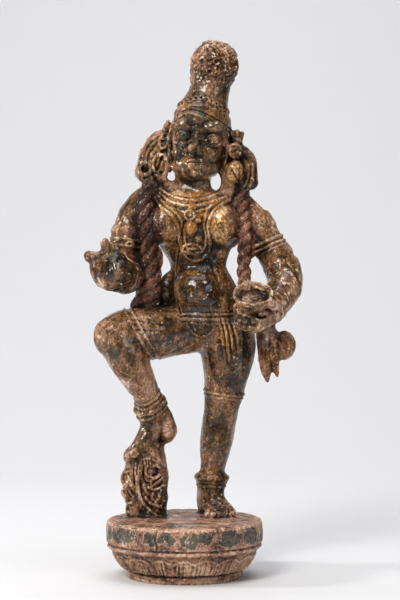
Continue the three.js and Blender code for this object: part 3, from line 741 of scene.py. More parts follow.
def lay_headdress(skin, work):
    """The soft roll over the brow, two thin bands, and the beads above it: rings in front, plain behind."""
    for centre, lift, radius in (
        ((19, 21, 507.8), -1.4, 3.0),
        ((23.4, 20, 522.6), -0.2, 1.1),
        ((24, 20, 527.4), -0.4, 0.9),
    ):
        ring = skin.hoop(centre, HEADDRESS_AXIS, lift, count=64)
        work.cord(eased(ring, 6, ring=True), radius, closed=True)
    for x, z in RING_BEADS:
        work.cord(skin.line(oval((x, z), 2.5, 2.4, count=12), 0.5, smooth=1), 0.95, closed=True)
    for place in skin.hoop((22.4, 20.2, 517.0), HEADDRESS_AXIS, 0.7, count=30):
        if place[1] > 8:
            work.bead(place, (2.1, 2.1, 1.9))


def lay_hair_and_ears(skin, work):
    """Strands of the side hair, the ears, their rings and the golden boss."""
    work.cord(skin.line(oval((-43.6, 449.1), 6.0, 6.6), 1.2, smooth=1), 2.6, closed=True)
    work.bead(skin.seen(-28.0, 455.2, 0.4), (8.0, 5.4, 11.6), leaning(-20))
    work.cord(skin.line(oval((-28.0, 455.2), 6.6, 10.2, -20), 2.0), 2.0, closed=True)
    work.cord(skin.line(oval((-23.0, 479.6), 4.8, 8.6, -14), 0.6), 1.7, closed=True)
    work.bead(skin.seen(-24.5, 500.5), (2.6, 3.0, 5.0), leaning(-30))
    work.bead(skin.seen(-18.6, 498.0), (2.8, 3.0, 5.2), leaning(14))
    work.cord(skin.line(oval((55.4, 468.9), 5.4, 7.2, 8), 0.8), 2.0, closed=True)
    for x, z, lean in ((53.4, 486.0, -24), (58.0, 488.0, 0), (62.4, 486.0, 24)):
        work.bead(skin.seen(x, z, 0.3), (2.8, 2.8, 5.0), leaning(lean))
    work.bead(skin.seen(58.0, 481.0, 0.2), (5.2, 3.4, 3.0))
    work.bead(skin.seen(54.6, 446.8, -1.0), (8.8, 6.4, 12.4), leaning(14))
    for places in (
        [(-18, 488), (-30, 485), (-42, 474), (-49, 462), (-50, 451)],
        [(-20, 482), (-31, 479), (-39, 470), (-43, 461)],
        [(-24, 472), (-31, 470), (-36, 463)],
        [(-45, 470), (-38, 478), (-29, 484)],
    ):
        work.cord(skin.line(curve_through(places), -0.4), 2.1, taper=0.4)
    for shift in (0, 5.0, 10.0):
        places = [(64.3 - shift * 0.4, 477.6 - shift * 0.5), (74.2 - shift, 467.8 - shift * 0.6),
                  (79.2 - shift, 452.4), (79.2 - shift, 437.1),
                  (74.2 - shift, 423.9 + shift * 0.5), (65.4 - shift * 0.4, 417.3 + shift * 0.4)]
        work.cord(skin.line(curve_through(places), -0.4), 2.1, taper=0.3)


def lay_braids(_, work):
    """The two braids, twisted from round strands; they hang free of the skin."""
    for stations, pitch, strands in BRAIDS:
        path, girth, along, side, front = twisted(stations)
        for strand in range(strands):
            turn = 2 * math.pi * (along / pitch + strand / strands)[:, None]
            offset = (np.cos(turn) * side + np.sin(turn) * front) * girth[:, None] * 0.5
            work.cord(path + offset, girth * 0.6)


def lay_leaf(skin, work):
    """The leaf's speckled rib, its feathered left lobes and the swirls of its right half."""
    for places, radius, lift in (
        ([(-53.7, 125.1), (-53.7, 114.1), (-52.3, 107.2), (-51.5, 100.3), (-49.6, 90.7), (-45.5, 81.1), (-39.3, 73.5),
          (-32.4, 68.0), (-25.5, 65.9)], 1.8, 0.4),
        ([(-32.4, 127.8), (-39.3, 130.6), (-46.2, 129.2), (-49.6, 120.9), (-50.6, 112.1)], 1.9, 0.2),
        ([(-61.3, 114.6), (-66.1, 115.6), (-68.2, 111.3), (-67.6, 104.4), (-63.3, 97.6), (-56.5, 86.6)], 2.6, 0.4),
        ([(-62.6, 112.7), (-60.2, 106.5), (-57.8, 98.9), (-55.1, 93.4)], 1.6, 0.2),
        ([(-63.3, 98.3), (-67.8, 95.6), (-67.0, 90.0), (-63.3, 83.1), (-56.5, 80.8)], 2.6, 0.4),
        ([(-62.6, 81.1), (-63.6, 77.6), (-62.3, 72.8), (-57.5, 67.3)], 2.2, 0.2),
        ([(-40.7, 123.7), (-43.4, 118.2), (-42.0, 111.3), (-36.5, 109.9)], 1.9, 0.2),
        ([(-35.2, 120.9), (-31.0, 123.0), (-26.6, 119.6), (-26.2, 114.1), (-30.3, 109.9), (-36.5, 107.2),
          (-37.9, 101.7), (-34.5, 100.3)], 2.2, 0.4),
        ([(-24.8, 114.8), (-25.2, 107.9), (-29.7, 103.1), (-35.2, 100.3)], 1.8, 0.2),
        ([(-40.7, 98.9), (-35.2, 96.2), (-29.0, 97.6), (-23.5, 101.0)], 2.0, 0.3),
        ([(-25.5, 96.9), (-28.3, 90.7), (-28.3, 85.2), (-32.4, 82.4)], 1.9, 0.2),
        ([(-33.8, 92.8), (-36.5, 87.9), (-35.2, 83.8)], 1.6, 0.2),
        ([(-44.1, 87.9), (-37.9, 81.1), (-29.7, 77.6), (-21.4, 74.2)], 1.9, 0.3),
        ([(-46.0, 104.0), (-44.0, 96.0), (-40.0, 90.0)], 1.5, 0.1),
    ):
        work.cord(skin.line(curve_through(places), lift, smooth=1), radius, taper=0.35)
    work.bead(skin.seen(-61.0, 134.0, -1.2), (7.4, 5.0, 4.6), leaning(-34))
    work.bead(skin.seen(-56.0, 138.0, -1.2), (6.0, 5.0, 4.4), leaning(-34))


def lay_hands_and_feet(skin, work):
    """Curled fingers of the fist, finger tips under the bowl, the bowl's lip and the toe tips."""
    for places, radius, lift in (
        ([(-65.0, 355.0), (-62.6, 349.0), (-64.2, 342.0), (-68.6, 339.4), (-74.0, 340.6), (-78.6, 345.0)], 2.4, -0.7),
        ([(-59.5, 350.0), (-57.5, 343.0), (-57.5, 336.0), (-60.0, 328.0)], 2.0, -0.7),
        ([(-96.0, 330.5), (-88.5, 318.5), (-78.5, 314.2), (-68.0, 316.5)], 1.8, -0.6),
        ([(-74.0, 311.5), (-63.0, 313.5), (-55.0, 318.0)], 1.8, -0.4),
        ([(-100.5, 352.0), (-99.5, 346.0), (-98.5, 340.5)], 1.6, -0.4),
    ):
        work.cord(skin.line(curve_through(places), lift), radius, taper=0.2)
    for places, radius in (
        ([(57.6, 295.0), (61.0, 291.0), (65.4, 286.6)], 3.2),
        ([(56.6, 288.2), (62.0, 283.2), (68.6, 280.6)], 3.6),
    ):
        work.cord(skin.line(curve_through(places), -0.8), radius, taper=0.25)
    fingertip = ((60.2, 279.4), (66.6, 275.4), (74.0, 273.8), (81.5, 275.4))
    tip = [skin.seen(x, z, -2.0) for x, z in fingertip]
    for a, b in zip(tip, tip[1:]):
        if abs(b[1] - a[1]) > 7:
            b[1] = a[1]
    work.limb([(*place, r) for place, r in zip(tip, (3.8, 4.4, 4.8, 5.0))])
    lip = [(90.0, 300.0), (79.0, 297.4), (68.0, 298.6), (59.8, 302.0), (54.9, 306.5), (53.6, 311)]
    work.cord(skin.line(curve_through(lip), 0.0), 1.4, taper=0.3)
    for places in (
        [(104.0, 312.5), (108.5, 305.5), (111.5, 297.5)],
        [(109.5, 314.0), (114.0, 306.5), (117.5, 298.0)],
    ):
        work.cord(skin.line(curve_through(places), -0.2), 1.1, taper=0.4)
    strap = [(20.4, 73.1), (30.3, 75.9), (41.3, 76.4), (51.2, 75.0), (56.7, 72.0)]
    work.cord(skin.line(curve_through(strap), 0.0), 1.6, taper=0.3)
    for x, z, r in ((24.6, 69.0, 4.0), (31.6, 68.4, 3.9), (38.6, 68.6, 3.8), (45.4, 69.4, 3.6), (52.0, 70.6, 3.4)):
        work.bead(skin.seen(x, z, -1.6), (r, r, r * 0.85))


def carve_figure(piece):
    """Grooves, strands, curls and the old crack, on the finished surface."""
    skin = Skin(piece)
    carving = Carving(piece)

    def line(places, **more):
        return skin.line(curve_through(places, 1.2), **more)

    carving.line(line(CRACK, smooth=1), 1.5, -2.4)
    carving.line(line(BELLY_FOLD), 3.4, -0.6)
    carving.line(line([(28.1, 349.2), (34.0, 333.0), (42.4, 310.7)]), 3.4, -1.1)
    carving.line(line([(17.4, 336.4), (19.3, 335.2), (21.2, 336.4)]), 3.0, -2.4)
    for places in THIGH_FOLDS:
        carving.line(line([(x, z - 4.2) for x, z in places]), 2.2, -0.4)
    for a, b in zip(SASHES, SASHES[1:]):
        between = [((ax + bx) / 2, (az + bz) / 2) for (ax, az), (bx, bz) in zip(a, b)]
        carving.line(line(between), 1.6, -1.0)
    for places, width, rise in (
        # over the eyes
        ([(-11.0, 486.5), (-7.0, 491.0), (0.0, 493.0), (6.6, 491.0), (9.6, 487.0)], 1.6, -1.5),
        ([(22.8, 482.6), (26.6, 487.2), (32.0, 488.4), (37.0, 486.0), (40.4, 481.0)], 1.6, -1.5),
        # between the lips
        ([(2.6, 456.2), (6.6, 456.8), (11.6, 455.9), (16.6, 456.7), (21.0, 456.0)], 1.1, -1.3),
        # on the golden boss
        ([(51.9, 448.2), (56.0, 441.0), (60.2, 434.5)], 1.5, -2.0),
        ([(61.1, 446.3), (61.0, 440.0), (60.2, 434.5)], 1.4, -1.8),
        # in the right ear
        ([(-24.4, 462.5), (-27.0, 455.6), (-30.4, 447.6)], 2.6, -3.4),
        # under the headdress
        ([(-13.2, 505.4), (-4.9, 511.6), (5.2, 514.4), (17.1, 512.5), (31.8, 505.9), (42.8, 499.4), (50.1, 493.6)],
         1.8, -1.5),
        # on the left hand and the scarf's tails
        ([(80.5, 287.5), (84.0, 286.2), (88.6, 287.0)], 3.2, -3.6),
        ([(94.0, 262), (93.6, 248), (95.2, 236), (97.0, 227)], 2.6, -0.9),
        ([(60.5, 288.0), (65.0, 286.4), (71.5, 284.5)], 2.0, -1.8),
        # on the right hand
        ([(-74.0, 326.0), (-66.0, 325.0), (-59.0, 328.0)], 2.4, -1.0),
        ([(-92.5, 362.0), (-94.5, 358.5), (-91.0, 355.5)], 2.2, -1.8),
        # between the leaf's swirls
        ([(-45.0, 121.0), (-45.5, 112.0), (-43.0, 104.0), (-39.0, 103.0)], 2.0, -1.8),
        ([(-31.0, 118.5), (-30.5, 114.0), (-34.0, 112.0)], 2.4, -2.2),
        ([(-24.5, 105.0), (-28.5, 99.8), (-34.0, 98.0)], 1.8, -1.8),
        ([(-56.0, 118.0), (-56.0, 108.0), (-54.0, 98.0), (-51.5, 86.0), (-46.5, 76.0)], 1.8, -1.6),
        ([(-60.5, 90.5), (-59.0, 86.8), (-62.5, 94.0)], 1.8, -1.6),
    ):
        carving.line(line(places, smooth=1), width, rise)
    for x in (-60.4, -57.4, -46.8, -43.4, -40.2, -37.0):
        carving.line(line([(x, 134.0), (x + 1.0, 126.0), (x + 1.6, 119.0)]), 1.1, -0.8)
    for (x, z), radius, rise in (
        ((3.6, 466.2), 2.1, -1.8),
        ((12.6, 466.8), 2.1, -1.8),
        ((-43.6, 449.1), 4.6, -5.0),
        ((55.4, 468.9), 5.0, -5.0),
        ((-23.0, 479.6), 3.6, -1.6),
        ((-71.4, 350.0), 8.0, -5.0),
        ((102.4, 292.1), 2.8, -2.8),
        ((-60.5, 366.4), 2.2, -1.4),
    ):
        carving.spot(skin.seen(x, z), radius, rise)
    for x, z in RING_BEADS:
        carving.spot(skin.seen(x, z), 1.7, -1.1)
    for i in range(5):
        x, z = 28.2 + 6.9 * i, 68.6 + 0.5 * i
        carving.line(line([(x, z - 2), (x, z + 2), (x + 0.6, z + 5.0)]), 1.2, -0.8)
    for x, z, size in TOPKNOT_CURLS:
        carving.spot(skin.seen(x, z), size, 1.3, ring=0.2)
    points = carving.points
    for centre, radii, middle, gap in (
        ((-40, 22, 462), (22, 30, 34), (-18, 20, 452), 4.6),
        ((66, 22, 450), (20, 30, 38), (52, 20, 450), 4.4),
    ):
        mask = within(points, centre, radii)
        out = np.hypot(points[:, 0] - middle[0], (points[:, 2] - middle[2]) * 0.75)
        carving.wave(mask * 0.9, out / gap, 0.8)
    back = within(points, (16, 56, 455), (44, 26, 70)) * blend(points[:, 1], 34, 44)
    carving.wave(back, points[:, 0] / 6.0 + 0.2 * np.sin(points[:, 2] / 9), 1.1)
    for stations, pitch, strands in BRAIDS:
        carving.strands(np.array(stations), pitch, strands, 0.45)
    carving.carve()


# ---------------------------------------------------------------- finishes


def shader_group(name, inputs, outputs):
    """A node group with these sockets, and its input and output nodes."""
    tree = bpy.data.node_groups.new(name, "ShaderNodeTree")
    for label, kind, default in inputs:
        socket = tree.interface.new_socket(label, in_out="INPUT", socket_type=kind)
        if default is not None:
            socket.default_value = default
    for label, kind in outputs:
        tree.interface.new_socket(label, in_out="OUTPUT", socket_type=kind)
    return tree, tree.nodes.new("NodeGroupInput"), tree.nodes.new("NodeGroupOutput")


class Nodes:
    """Short ways to add and link nodes in a tree."""

    def __init__(self, tree):
        self.tree = tree

    def add(self, kind, **settings):
        node = self.tree.nodes.new(kind)
        for key, value in settings.items():
            setattr(node, key, value)
        return node

    def put(self, source, socket):
        """Link a socket, or set it to a value."""
        if isinstance(source, bpy.types.NodeSocket):
            self.tree.links.new(source, socket)
        else:
            socket.default_value = source

    def math(self, operation, a, b, clamp=False):
        node = self.add("ShaderNodeMath", operation=operation, use_clamp=clamp)
        self.put(a, node.inputs[0])
        self.put(b, node.inputs[1])
        return node.outputs[0]

    def plus(self, a, b):
        return self.math("ADD", a, b)

    def minus(self, a, b, clamp=False):
        return self.math("SUBTRACT", a, b, clamp)

    def times(self, a, b, clamp=False):
        return self.math("MULTIPLY", a, b, clamp)

    def noise(self, vector, scale, detail, rough, shift=0.0):
        """Fractal noise; a shift moves it, so that no two noises follow each other."""
        node = self.add("ShaderNodeTexNoise")
        if shift:
            mapping = self.add("ShaderNodeMapping")
            mapping.inputs["Location"].default_value = (shift, shift * 0.7, -shift * 1.3)
            self.put(vector, mapping.inputs["Vector"])
            vector = mapping.outputs[0]
        self.put(vector, node.inputs["Vector"])
        self.put(scale, node.inputs["Scale"])
        node.inputs["Detail"].default_value = detail
        node.inputs["Roughness"].default_value = rough
        return node.outputs["Fac"]

    def steps(self, value, low, high, a=0.0, b=1.0):
        """a up to low, b from high on, and smooth between them."""
        node = self.add("ShaderNodeMapRange", interpolation_type="SMOOTHSTEP")
        self.put(value, node.inputs[0])
        for socket, setting in zip(node.inputs[1:5], (low, high, a, b)):
            self.put(setting, socket)
        return node.outputs[0]

    def mix(self, share, a, b):
        """Colour a, covered by colour b where the share is 1."""
        node = self.add("ShaderNodeMix", data_type="RGBA", clamp_factor=True)
        self.put(share, node.inputs["Factor"])
        for label, source in (("A", a), ("B", b)):
            socket = [s for s in node.inputs if s.name == label and s.type == "RGBA"][0]
            self.put(source if isinstance(source, bpy.types.NodeSocket) else (*source, 1), socket)
        return [s for s in node.outputs if s.type == "RGBA"][0]

    def field(self, name):
        return self.add("ShaderNodeAttribute", attribute_name=name).outputs["Fac"]

    def bumped(self, shader, height, strength, distance):
        """Give a shader this height as its bump."""
        bump = self.add("ShaderNodeBump")
        bump.inputs["Strength"].default_value = strength
        bump.inputs["Distance"].default_value = distance
        self.put(height, bump.inputs["Height"])
        self.put(bump.outputs[0], shader.inputs["Normal"])

    def group(self, tree, **sockets):
        node = self.add("ShaderNodeGroup")
        node.node_tree = tree
        for label, source in sockets.items():
            self.put(source, node.inputs[label.replace("_", " ").title()])
        return node


def flaking_group():
    """Where a layer of old paint is left: its mask, its broken rim and its height."""
    tree, given, out = shader_group(
        "flaking_paint",
        [("Vector", "NodeSocketVector", None), ("Scale", "NodeSocketFloat", 100.0), ("Kept", "NodeSocketFloat", 0.5),
         ("Bias", "NodeSocketFloat", 0.0), ("Soft", "NodeSocketFloat", 0.01)],
        [("Mask", "NodeSocketFloat"), ("Rim", "NodeSocketFloat"), ("Height", "NodeSocketFloat")],
    )
    n = Nodes(tree)
    vector, scale, kept, bias, soft = (given.outputs[name] for name in ("Vector", "Scale", "Kept", "Bias", "Soft"))
    coarse = n.noise(vector, scale, detail=5.0, rough=0.62)
    fine = n.noise(vector, n.times(scale, 3.7), detail=3.0, rough=0.6, shift=3.1)
    value = n.plus(n.times(coarse, 0.78), n.times(fine, 0.22))
    edge = n.minus(0.74, n.times(kept, 0.48))
    level = n.minus(n.plus(value, bias), edge)
    mask = n.steps(level, n.times(soft, -1.0), soft)
    rim = n.times(n.steps(level, -0.045, -0.004), n.minus(1.0, mask), clamp=True)
    n.put(mask, out.inputs["Mask"])
    n.put(rim, out.inputs["Rim"])
    n.put(mask, out.inputs["Height"])
    return tree


def grime_and_shade_group():
    """Dark dirt in broad smudges, and dirt with painted shade in the hollows."""
    tree, given, out = shader_group(
        "grime_and_hollow_shade",
        [("Vector", "NodeSocketVector", None), ("Hollow", "NodeSocketFloat", 0.0),
         ("Amount", "NodeSocketFloat", 1.0)],
        [("Mask", "NodeSocketFloat")],
    )
    n = Nodes(tree)
    vector = given.outputs["Vector"]
    smudge = n.steps(n.noise(vector, 55.0, detail=5.0, rough=0.65, shift=7.7), 0.42, 0.72)
    speck = n.steps(n.noise(vector, 420.0, detail=3.0, rough=0.6, shift=1.9), 0.52, 0.68)
    # The hollows' share of this mask is painted shade as well as dirt.
    deep = n.times(given.outputs["Hollow"], n.plus(0.75, n.times(speck, 0.5)))
    total = n.plus(deep, n.times(n.times(smudge, speck), 0.55))
    n.put(n.times(total, given.outputs["Amount"], clamp=True), out.inputs["Mask"])
    return tree


def patina_group():
    """The mottling of old varnish, as strong in its fine specks as in its broad clouds."""
    tree, given, out = shader_group(
        "mottled_patina",
        [("Vector", "NodeSocketVector", None), ("Scale", "NodeSocketFloat", 40.0),
         ("Streak", "NodeSocketFloat", 0.6)],
        [("Value", "NodeSocketFloat"), ("Grain", "NodeSocketFloat")],
    )
    n = Nodes(tree)
    vector, scale = given.outputs["Vector"], given.outputs["Scale"]
    stretch = n.add("ShaderNodeCombineXYZ")
    for axis, source in enumerate((1.0, 1.0, given.outputs["Streak"])):
        n.put(source, stretch.inputs[axis])
    drawn = n.add("ShaderNodeVectorMath", operation="MULTIPLY")
    n.put(vector, drawn.inputs[0])
    n.put(stretch.outputs[0], drawn.inputs[1])
    broad = n.noise(drawn.outputs[0], scale, detail=7.0, rough=0.80)
    fine = n.noise(vector, n.times(scale, 11.0), detail=4.0, rough=0.72, shift=4.3)
    n.put(n.plus(n.times(broad, 0.74), n.times(fine, 0.26)), out.inputs["Value"])
    n.put(fine, out.inputs["Grain"])
    return tree


def new_material(name, rough, coat=0.0, coat_rough=0.25, specular=0.5):
    """A material with its nodes and its shader, whose even values are set on the shader itself."""
    material = bpy.data.materials.new(name)
    material.use_nodes = True
    shader = material.node_tree.nodes["Principled BSDF"]
    shader.inputs["Coat Weight"].default_value = coat
    shader.inputs["Coat Roughness"].default_value = coat_rough
    shader.inputs["Specular IOR Level"].default_value = specular
    shader.inputs["Roughness"].default_value = rough
    return material, Nodes(material.node_tree), shader


# The values of the mottling from which, and at which in full, a layer of the figure's paint shows.
VARNISH_SHOWS = (0.425, 0.490)
WORN_SHOWS = (0.500, 0.560)
CHALK_SHOWS = (0.580, 0.620)
AMBER_SHADES = (0.41, 0.53)
RUST_SHADES = (0.44, 0.58)

# The same for the plinth's paint.
BROWN_PINK_SHOWS = (0.40, 0.47)
WARM_PINK_SHOWS = (0.45, 0.51)
PALE_PINK_SHOWS = (0.51, 0.56)
PLINTH_CHALK_SHOWS = (0.562, 0.60)


def figure_finish(colours, groups):
    """Gilding and brown varnish over red and chalk grounds, worn through on the ridges."""
    material, n, shader = new_material("worn_gilt_lacquer", rough=0.45, coat=0.5, coat_rough=0.17, specular=0.12)
    flaking, grime_and_shade, patina = groups
    place = n.add("ShaderNodeTexCoord").outputs["Object"]
    hollow, ridge, gilt, red, dark, pale = (n.field(f) for f in ("hollow", "ridge", "gilt", "red", "dark", "pale"))

    # The mottling, raised on what stands out and lowered in hollows, says which layer shows; lowered in hollows, and
    # by the dark field on the left braid, it paints shade.
    mottle = n.group(patina, vector=place, scale=32.0, streak=0.42)
    tone = n.plus(mottle.outputs["Value"], n.times(ridge, 0.045))
    tone = n.minus(tone, n.times(hollow, 0.085))
    tone = n.plus(tone, n.times(n.minus(pale, dark), 0.036))

    # Varnish, from nearly black to olive and warm brown.
    hue = n.plus(n.noise(place, 46.0, detail=4.0, rough=0.7, shift=2.0), n.times(gilt, 0.08))
    body = n.mix(n.steps(hue, 0.42, 0.60), colours.varnish_olive, colours.varnish_brown)
    colour = n.mix(n.steps(tone, *VARNISH_SHOWS), colours.varnish_dark, body)

    # Worn wood and gilding on the light places, and an amber glaze over the gilt ones.
    gilding = n.group(flaking, vector=place, scale=60.0, kept=0.25, soft=0.05, bias=n.times(gilt, 0.26))
    shade = n.mix(n.steps(mottle.outputs["Grain"], 0.42, 0.62), colours.gold_dull, colours.gold_bright)
    rubbed = n.plus(n.noise(place, 30.0, detail=3.0, rough=0.6, shift=6.0), n.times(pale, 0.12))
    worn = n.mix(n.steps(rubbed, 0.44, 0.62), colours.tan, colours.rose_tan)
    colour = n.mix(n.steps(tone, *WORN_SHOWS), colour, n.mix(gilding.outputs["Mask"], worn, shade))
    glaze = n.steps(n.noise(place, 42.0, detail=4.0, rough=0.65, shift=9.0), 0.42, 0.60)
    glaze = n.times(glaze, n.times(gilt, 0.62), clamp=True)
    colour = n.mix(glaze, colour, n.mix(n.steps(tone, *AMBER_SHADES), colours.amber_dark, colours.amber))

    # Soot, which on the left braid is painted shade, the red ground, chalk on the lightest places, chips down to the
    # chalk, and dirt over all, which in the hollows is painted shade as well.
    black = n.group(flaking, vector=place, scale=90.0, kept=0.26, soft=0.05, bias=n.times(dark, 0.24))
    colour = n.mix(n.times(black.outputs["Mask"], 0.8), colour, colours.soot_and_shade)
    rosy = n.group(flaking, vector=place, scale=80.0, kept=0.26, soft=0.05, bias=n.times(red, 0.26))
    rust = n.mix(n.steps(tone, *RUST_SHADES), colours.red_dark, colours.red_ground)
    colour = n.mix(n.times(rosy.outputs["Mask"], 0.8), colour, rust)
    colour = n.mix(n.times(n.steps(tone, *CHALK_SHOWS), 0.9), colour, colours.chalk)
    bare = n.plus(n.times(pale, 0.05), n.times(ridge, 0.07))
    chips = n.group(flaking, vector=place, scale=190.0, kept=0.19, soft=0.012, bias=bare)
    colour = n.mix(n.times(chips.outputs["Mask"], 0.9), colour, colours.chalk)
    # Dirt in smudges, and painted shade in the hollows.
    dirt_and_shade = n.group(grime_and_shade, vector=place, hollow=hollow, amount=0.95)
    n.put(n.mix(dirt_and_shade.outputs["Mask"], colour, colours.dirt_and_shade), shader.inputs["Base Color"])

    # Metal only in clean gilding outside the painted shade, and gloss in patches.
    unshaded_and_clean = n.minus(1.0, dirt_and_shade.outputs["Mask"], clamp=True)
    metal = n.times(gilding.outputs["Mask"], n.steps(tone, 0.48, 0.55))
    n.put(n.times(metal, n.times(unshaded_and_clean, 0.5)), shader.inputs["Metallic"])
    gloss = n.plus(
        n.noise(place, 38.0, detail=3.0, rough=0.6, shift=5.0), n.minus(n.times(gilt, 0.06), n.times(red, 0.12))
    )
    n.put(n.times(unshaded_and_clean, n.steps(gloss, 0.36, 0.54, 0.08, 0.85)), shader.inputs["Coat Weight"])
    rough = n.noise(place, 160.0, detail=3.0, rough=0.6, shift=5.0)
    n.put(n.steps(rough, 0.3, 0.7, 0.34, 0.62), shader.inputs["Roughness"])
    height = n.times(n.noise(place, 520.0, detail=4.0, rough=0.7, shift=4.0), 0.45)
    height = n.plus(height, n.times(mottle.outputs["Value"], 1.4))
    height = n.plus(height, n.times(gilding.outputs["Height"], 0.15))
    height = n.minus(height, n.times(chips.outputs["Height"], 0.3))
    n.bumped(shader, height, strength=0.7, distance=0.0012)
    return material


def plinth_finish(colours, groups):
    """Dull pink paint with dark green-grey patches rimmed in cream, over bare dark wood."""
    material, n, shader = new_material("pink_plinth_paint", rough=0.55, coat=0.12, coat_rough=0.35, specular=0.3)
    flaking, grime_and_shade, patina = groups
    place = n.add("ShaderNodeTexCoord").outputs["Object"]
    hollow, ridge, band, patch, flat = (n.field(f) for f in ("hollow", "ridge", "band", "patch", "flat"))

    # The mottling says how faded the pink is; lowered in hollows, it also paints shade into them.
    mottle = n.group(patina, vector=place, scale=40.0, streak=0.8)
    tone = n.plus(mottle.outputs["Value"], n.times(ridge, 0.06))
    tone = n.minus(tone, n.times(hollow, 0.07))
    tone = n.minus(tone, n.times(flat, 0.008))
    colour = n.mix(n.steps(tone, *BROWN_PINK_SHOWS), colours.plinth_dark, colours.pink_brown)
    colour = n.mix(n.steps(tone, *WARM_PINK_SHOWS), colour, colours.pink_warm)
    colour = n.mix(n.steps(tone, *PALE_PINK_SHOWS), colour, colours.pink_pale)

    # Brown stains among the petals, and lost paint with a cream rim in the patches.
    brown = n.group(flaking, vector=place, scale=70.0, kept=0.22, soft=0.04, bias=n.times(band, 0.24))
    stain = n.mix(n.steps(tone, 0.43, 0.53), colours.varnish_dark, colours.gold_dull)
    colour = n.mix(n.times(brown.outputs["Mask"], 0.4), colour, stain)
    lost = n.group(flaking, vector=place, scale=90.0, kept=0.16, soft=0.02, bias=n.times(patch, 0.27))
    colour = n.mix(n.times(lost.outputs["Rim"], 0.85), colour, colours.chalk)
    under = n.mix(n.steps(tone, 0.42, 0.53), colours.plinth_dark, colours.green_grey)
    colour = n.mix(lost.outputs["Mask"], colour, under)

    # Chalk on the lightest places, chips on the ridges, and dirt over all, which in the hollows is painted shade as
    # well.
    colour = n.mix(n.times(n.steps(tone, *PLINTH_CHALK_SHOWS), 0.85), colour, colours.chalk)
    chips = n.group(flaking, vector=place, scale=230.0, kept=0.18, bias=n.times(ridge, 0.16))
    colour = n.mix(n.times(chips.outputs["Mask"], 0.85), colour, colours.chalk)
    dirt_and_shade = n.group(grime_and_shade, vector=place, hollow=hollow, amount=0.9)
    n.put(n.mix(dirt_and_shade.outputs["Mask"], colour, colours.dirt_and_shade), shader.inputs["Base Color"])
    rough = n.noise(place, 150.0, detail=3.0, rough=0.6, shift=5.0)
    n.put(n.steps(rough, 0.3, 0.7, 0.42, 0.68), shader.inputs["Roughness"])
    height = n.minus(n.times(mottle.outputs["Value"], 1.6), n.times(lost.outputs["Height"], 0.35))
    n.bumped(shader, height, strength=0.8, distance=0.0011)
    return material


def wear_and_shade_groups():
    """The three groups of wear, dirt and painted shade, made once and shared by both finishes."""
    made = [bpy.data.node_groups.get(n) for n in ("flaking_paint", "grime_and_hollow_shade", "mottled_patina")]
    return made if all(made) else [flaking_group(), grime_and_shade_group(), patina_group()]


def colour_property(name, text, value):
    """A colour that the user may change."""
    return FloatVectorProperty(name=name, description=text, subtype="COLOR", size=3, min=0, max=1, default=value)


class DemonColours(bpy.types.PropertyGroup):
    """Colours of the paint layers."""

    varnish_dark: colour_property("Dark varnish", "Darkest brown of the old varnish", (0.012, 0.007, 0.0035))
    varnish_olive: colour_property("Olive varnish", "Grey-olive brown of the varnish", (0.085, 0.049, 0.018))
    varnish_brown: colour_property("Brown varnish", "Warm brown of the varnish", (0.165, 0.069, 0.019))
    gold_dull: colour_property("Dull gold", "Worn gilding", (0.30, 0.145, 0.035))
    gold_bright: colour_property("Bright gold", "Gilding where it is still bright", (0.66, 0.37, 0.12))
    amber: colour_property("Amber", "Orange glaze over the gilding", (0.40, 0.160, 0.028))
    amber_dark: colour_property("Dark amber", "The glaze where it is thick", (0.050, 0.017, 0.005))
    rose_tan: colour_property("Rose tan", "Pinkish grey of the worn arms", (0.37, 0.192, 0.114))
    tan: colour_property("Tan", "Pale brown of the worn ridges", (0.32, 0.167, 0.085))
    red_ground: colour_property("Red ground", "Pinkish red under the gilding", (0.235, 0.094, 0.054))
    red_dark: colour_property("Dark red", "Dirty red of the braids", (0.024, 0.008, 0.0045))
    # Near-black of soot; on the left braid it is painted shade.
    soot_and_shade: colour_property("Soot", "Blackened places", (0.008, 0.006, 0.004))
    chalk: colour_property("Chalk", "Cream chalk ground in the chips", (0.68, 0.52, 0.36))
    # Near-black of dirt, and of the shade painted into the hollows.
    dirt_and_shade: colour_property("Dirt", "Dirt in the hollows", (0.006, 0.004, 0.0025))
    pink_warm: colour_property("Warm pink", "Pink paint of the plinth", (0.34, 0.166, 0.106))
    pink_pale: colour_property("Pale pink", "Faded pink paint of the plinth", (0.52, 0.31, 0.215))
    pink_brown: colour_property("Brown pink", "Dirty pink paint of the plinth", (0.17, 0.084, 0.054))
    plinth_dark: colour_property("Plinth brown", "Bare dark wood of the plinth", (0.028, 0.015, 0.009))
    green_grey: colour_property("Green grey", "Dark patches of the plinth", (0.125, 0.105, 0.078))


def length_property(name, text, value):
    """A length that the user may change, given in mm."""
    return FloatProperty(name=name, description=text, unit="LENGTH", default=value * MM, min=0.0001)


class DemonSizes(bpy.types.PropertyGroup):
    """Sizes of the fine work."""

    rough_step: length_property("Rough step", "Mesh step of the roughed-out form", 1.7)
    figure_step: length_property("Figure step", "Mesh step of the finished figure", 0.85)
    plinth_step: length_property("Plinth step", "Mesh step of the finished plinth", 1.1)
    tool_marks: length_property("Tool marks", "Depth of the broad unevenness", 0.9)


def declared(piece, material):
    """Finish a piece and say to the frame what it rides on and stands for."""
    piece.data.materials.clear()
    piece.data.materials.append(material)
    choose(piece)
    bpy.ops.object.shade_smooth()
    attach(piece, "root")
    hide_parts("dancing_figure")


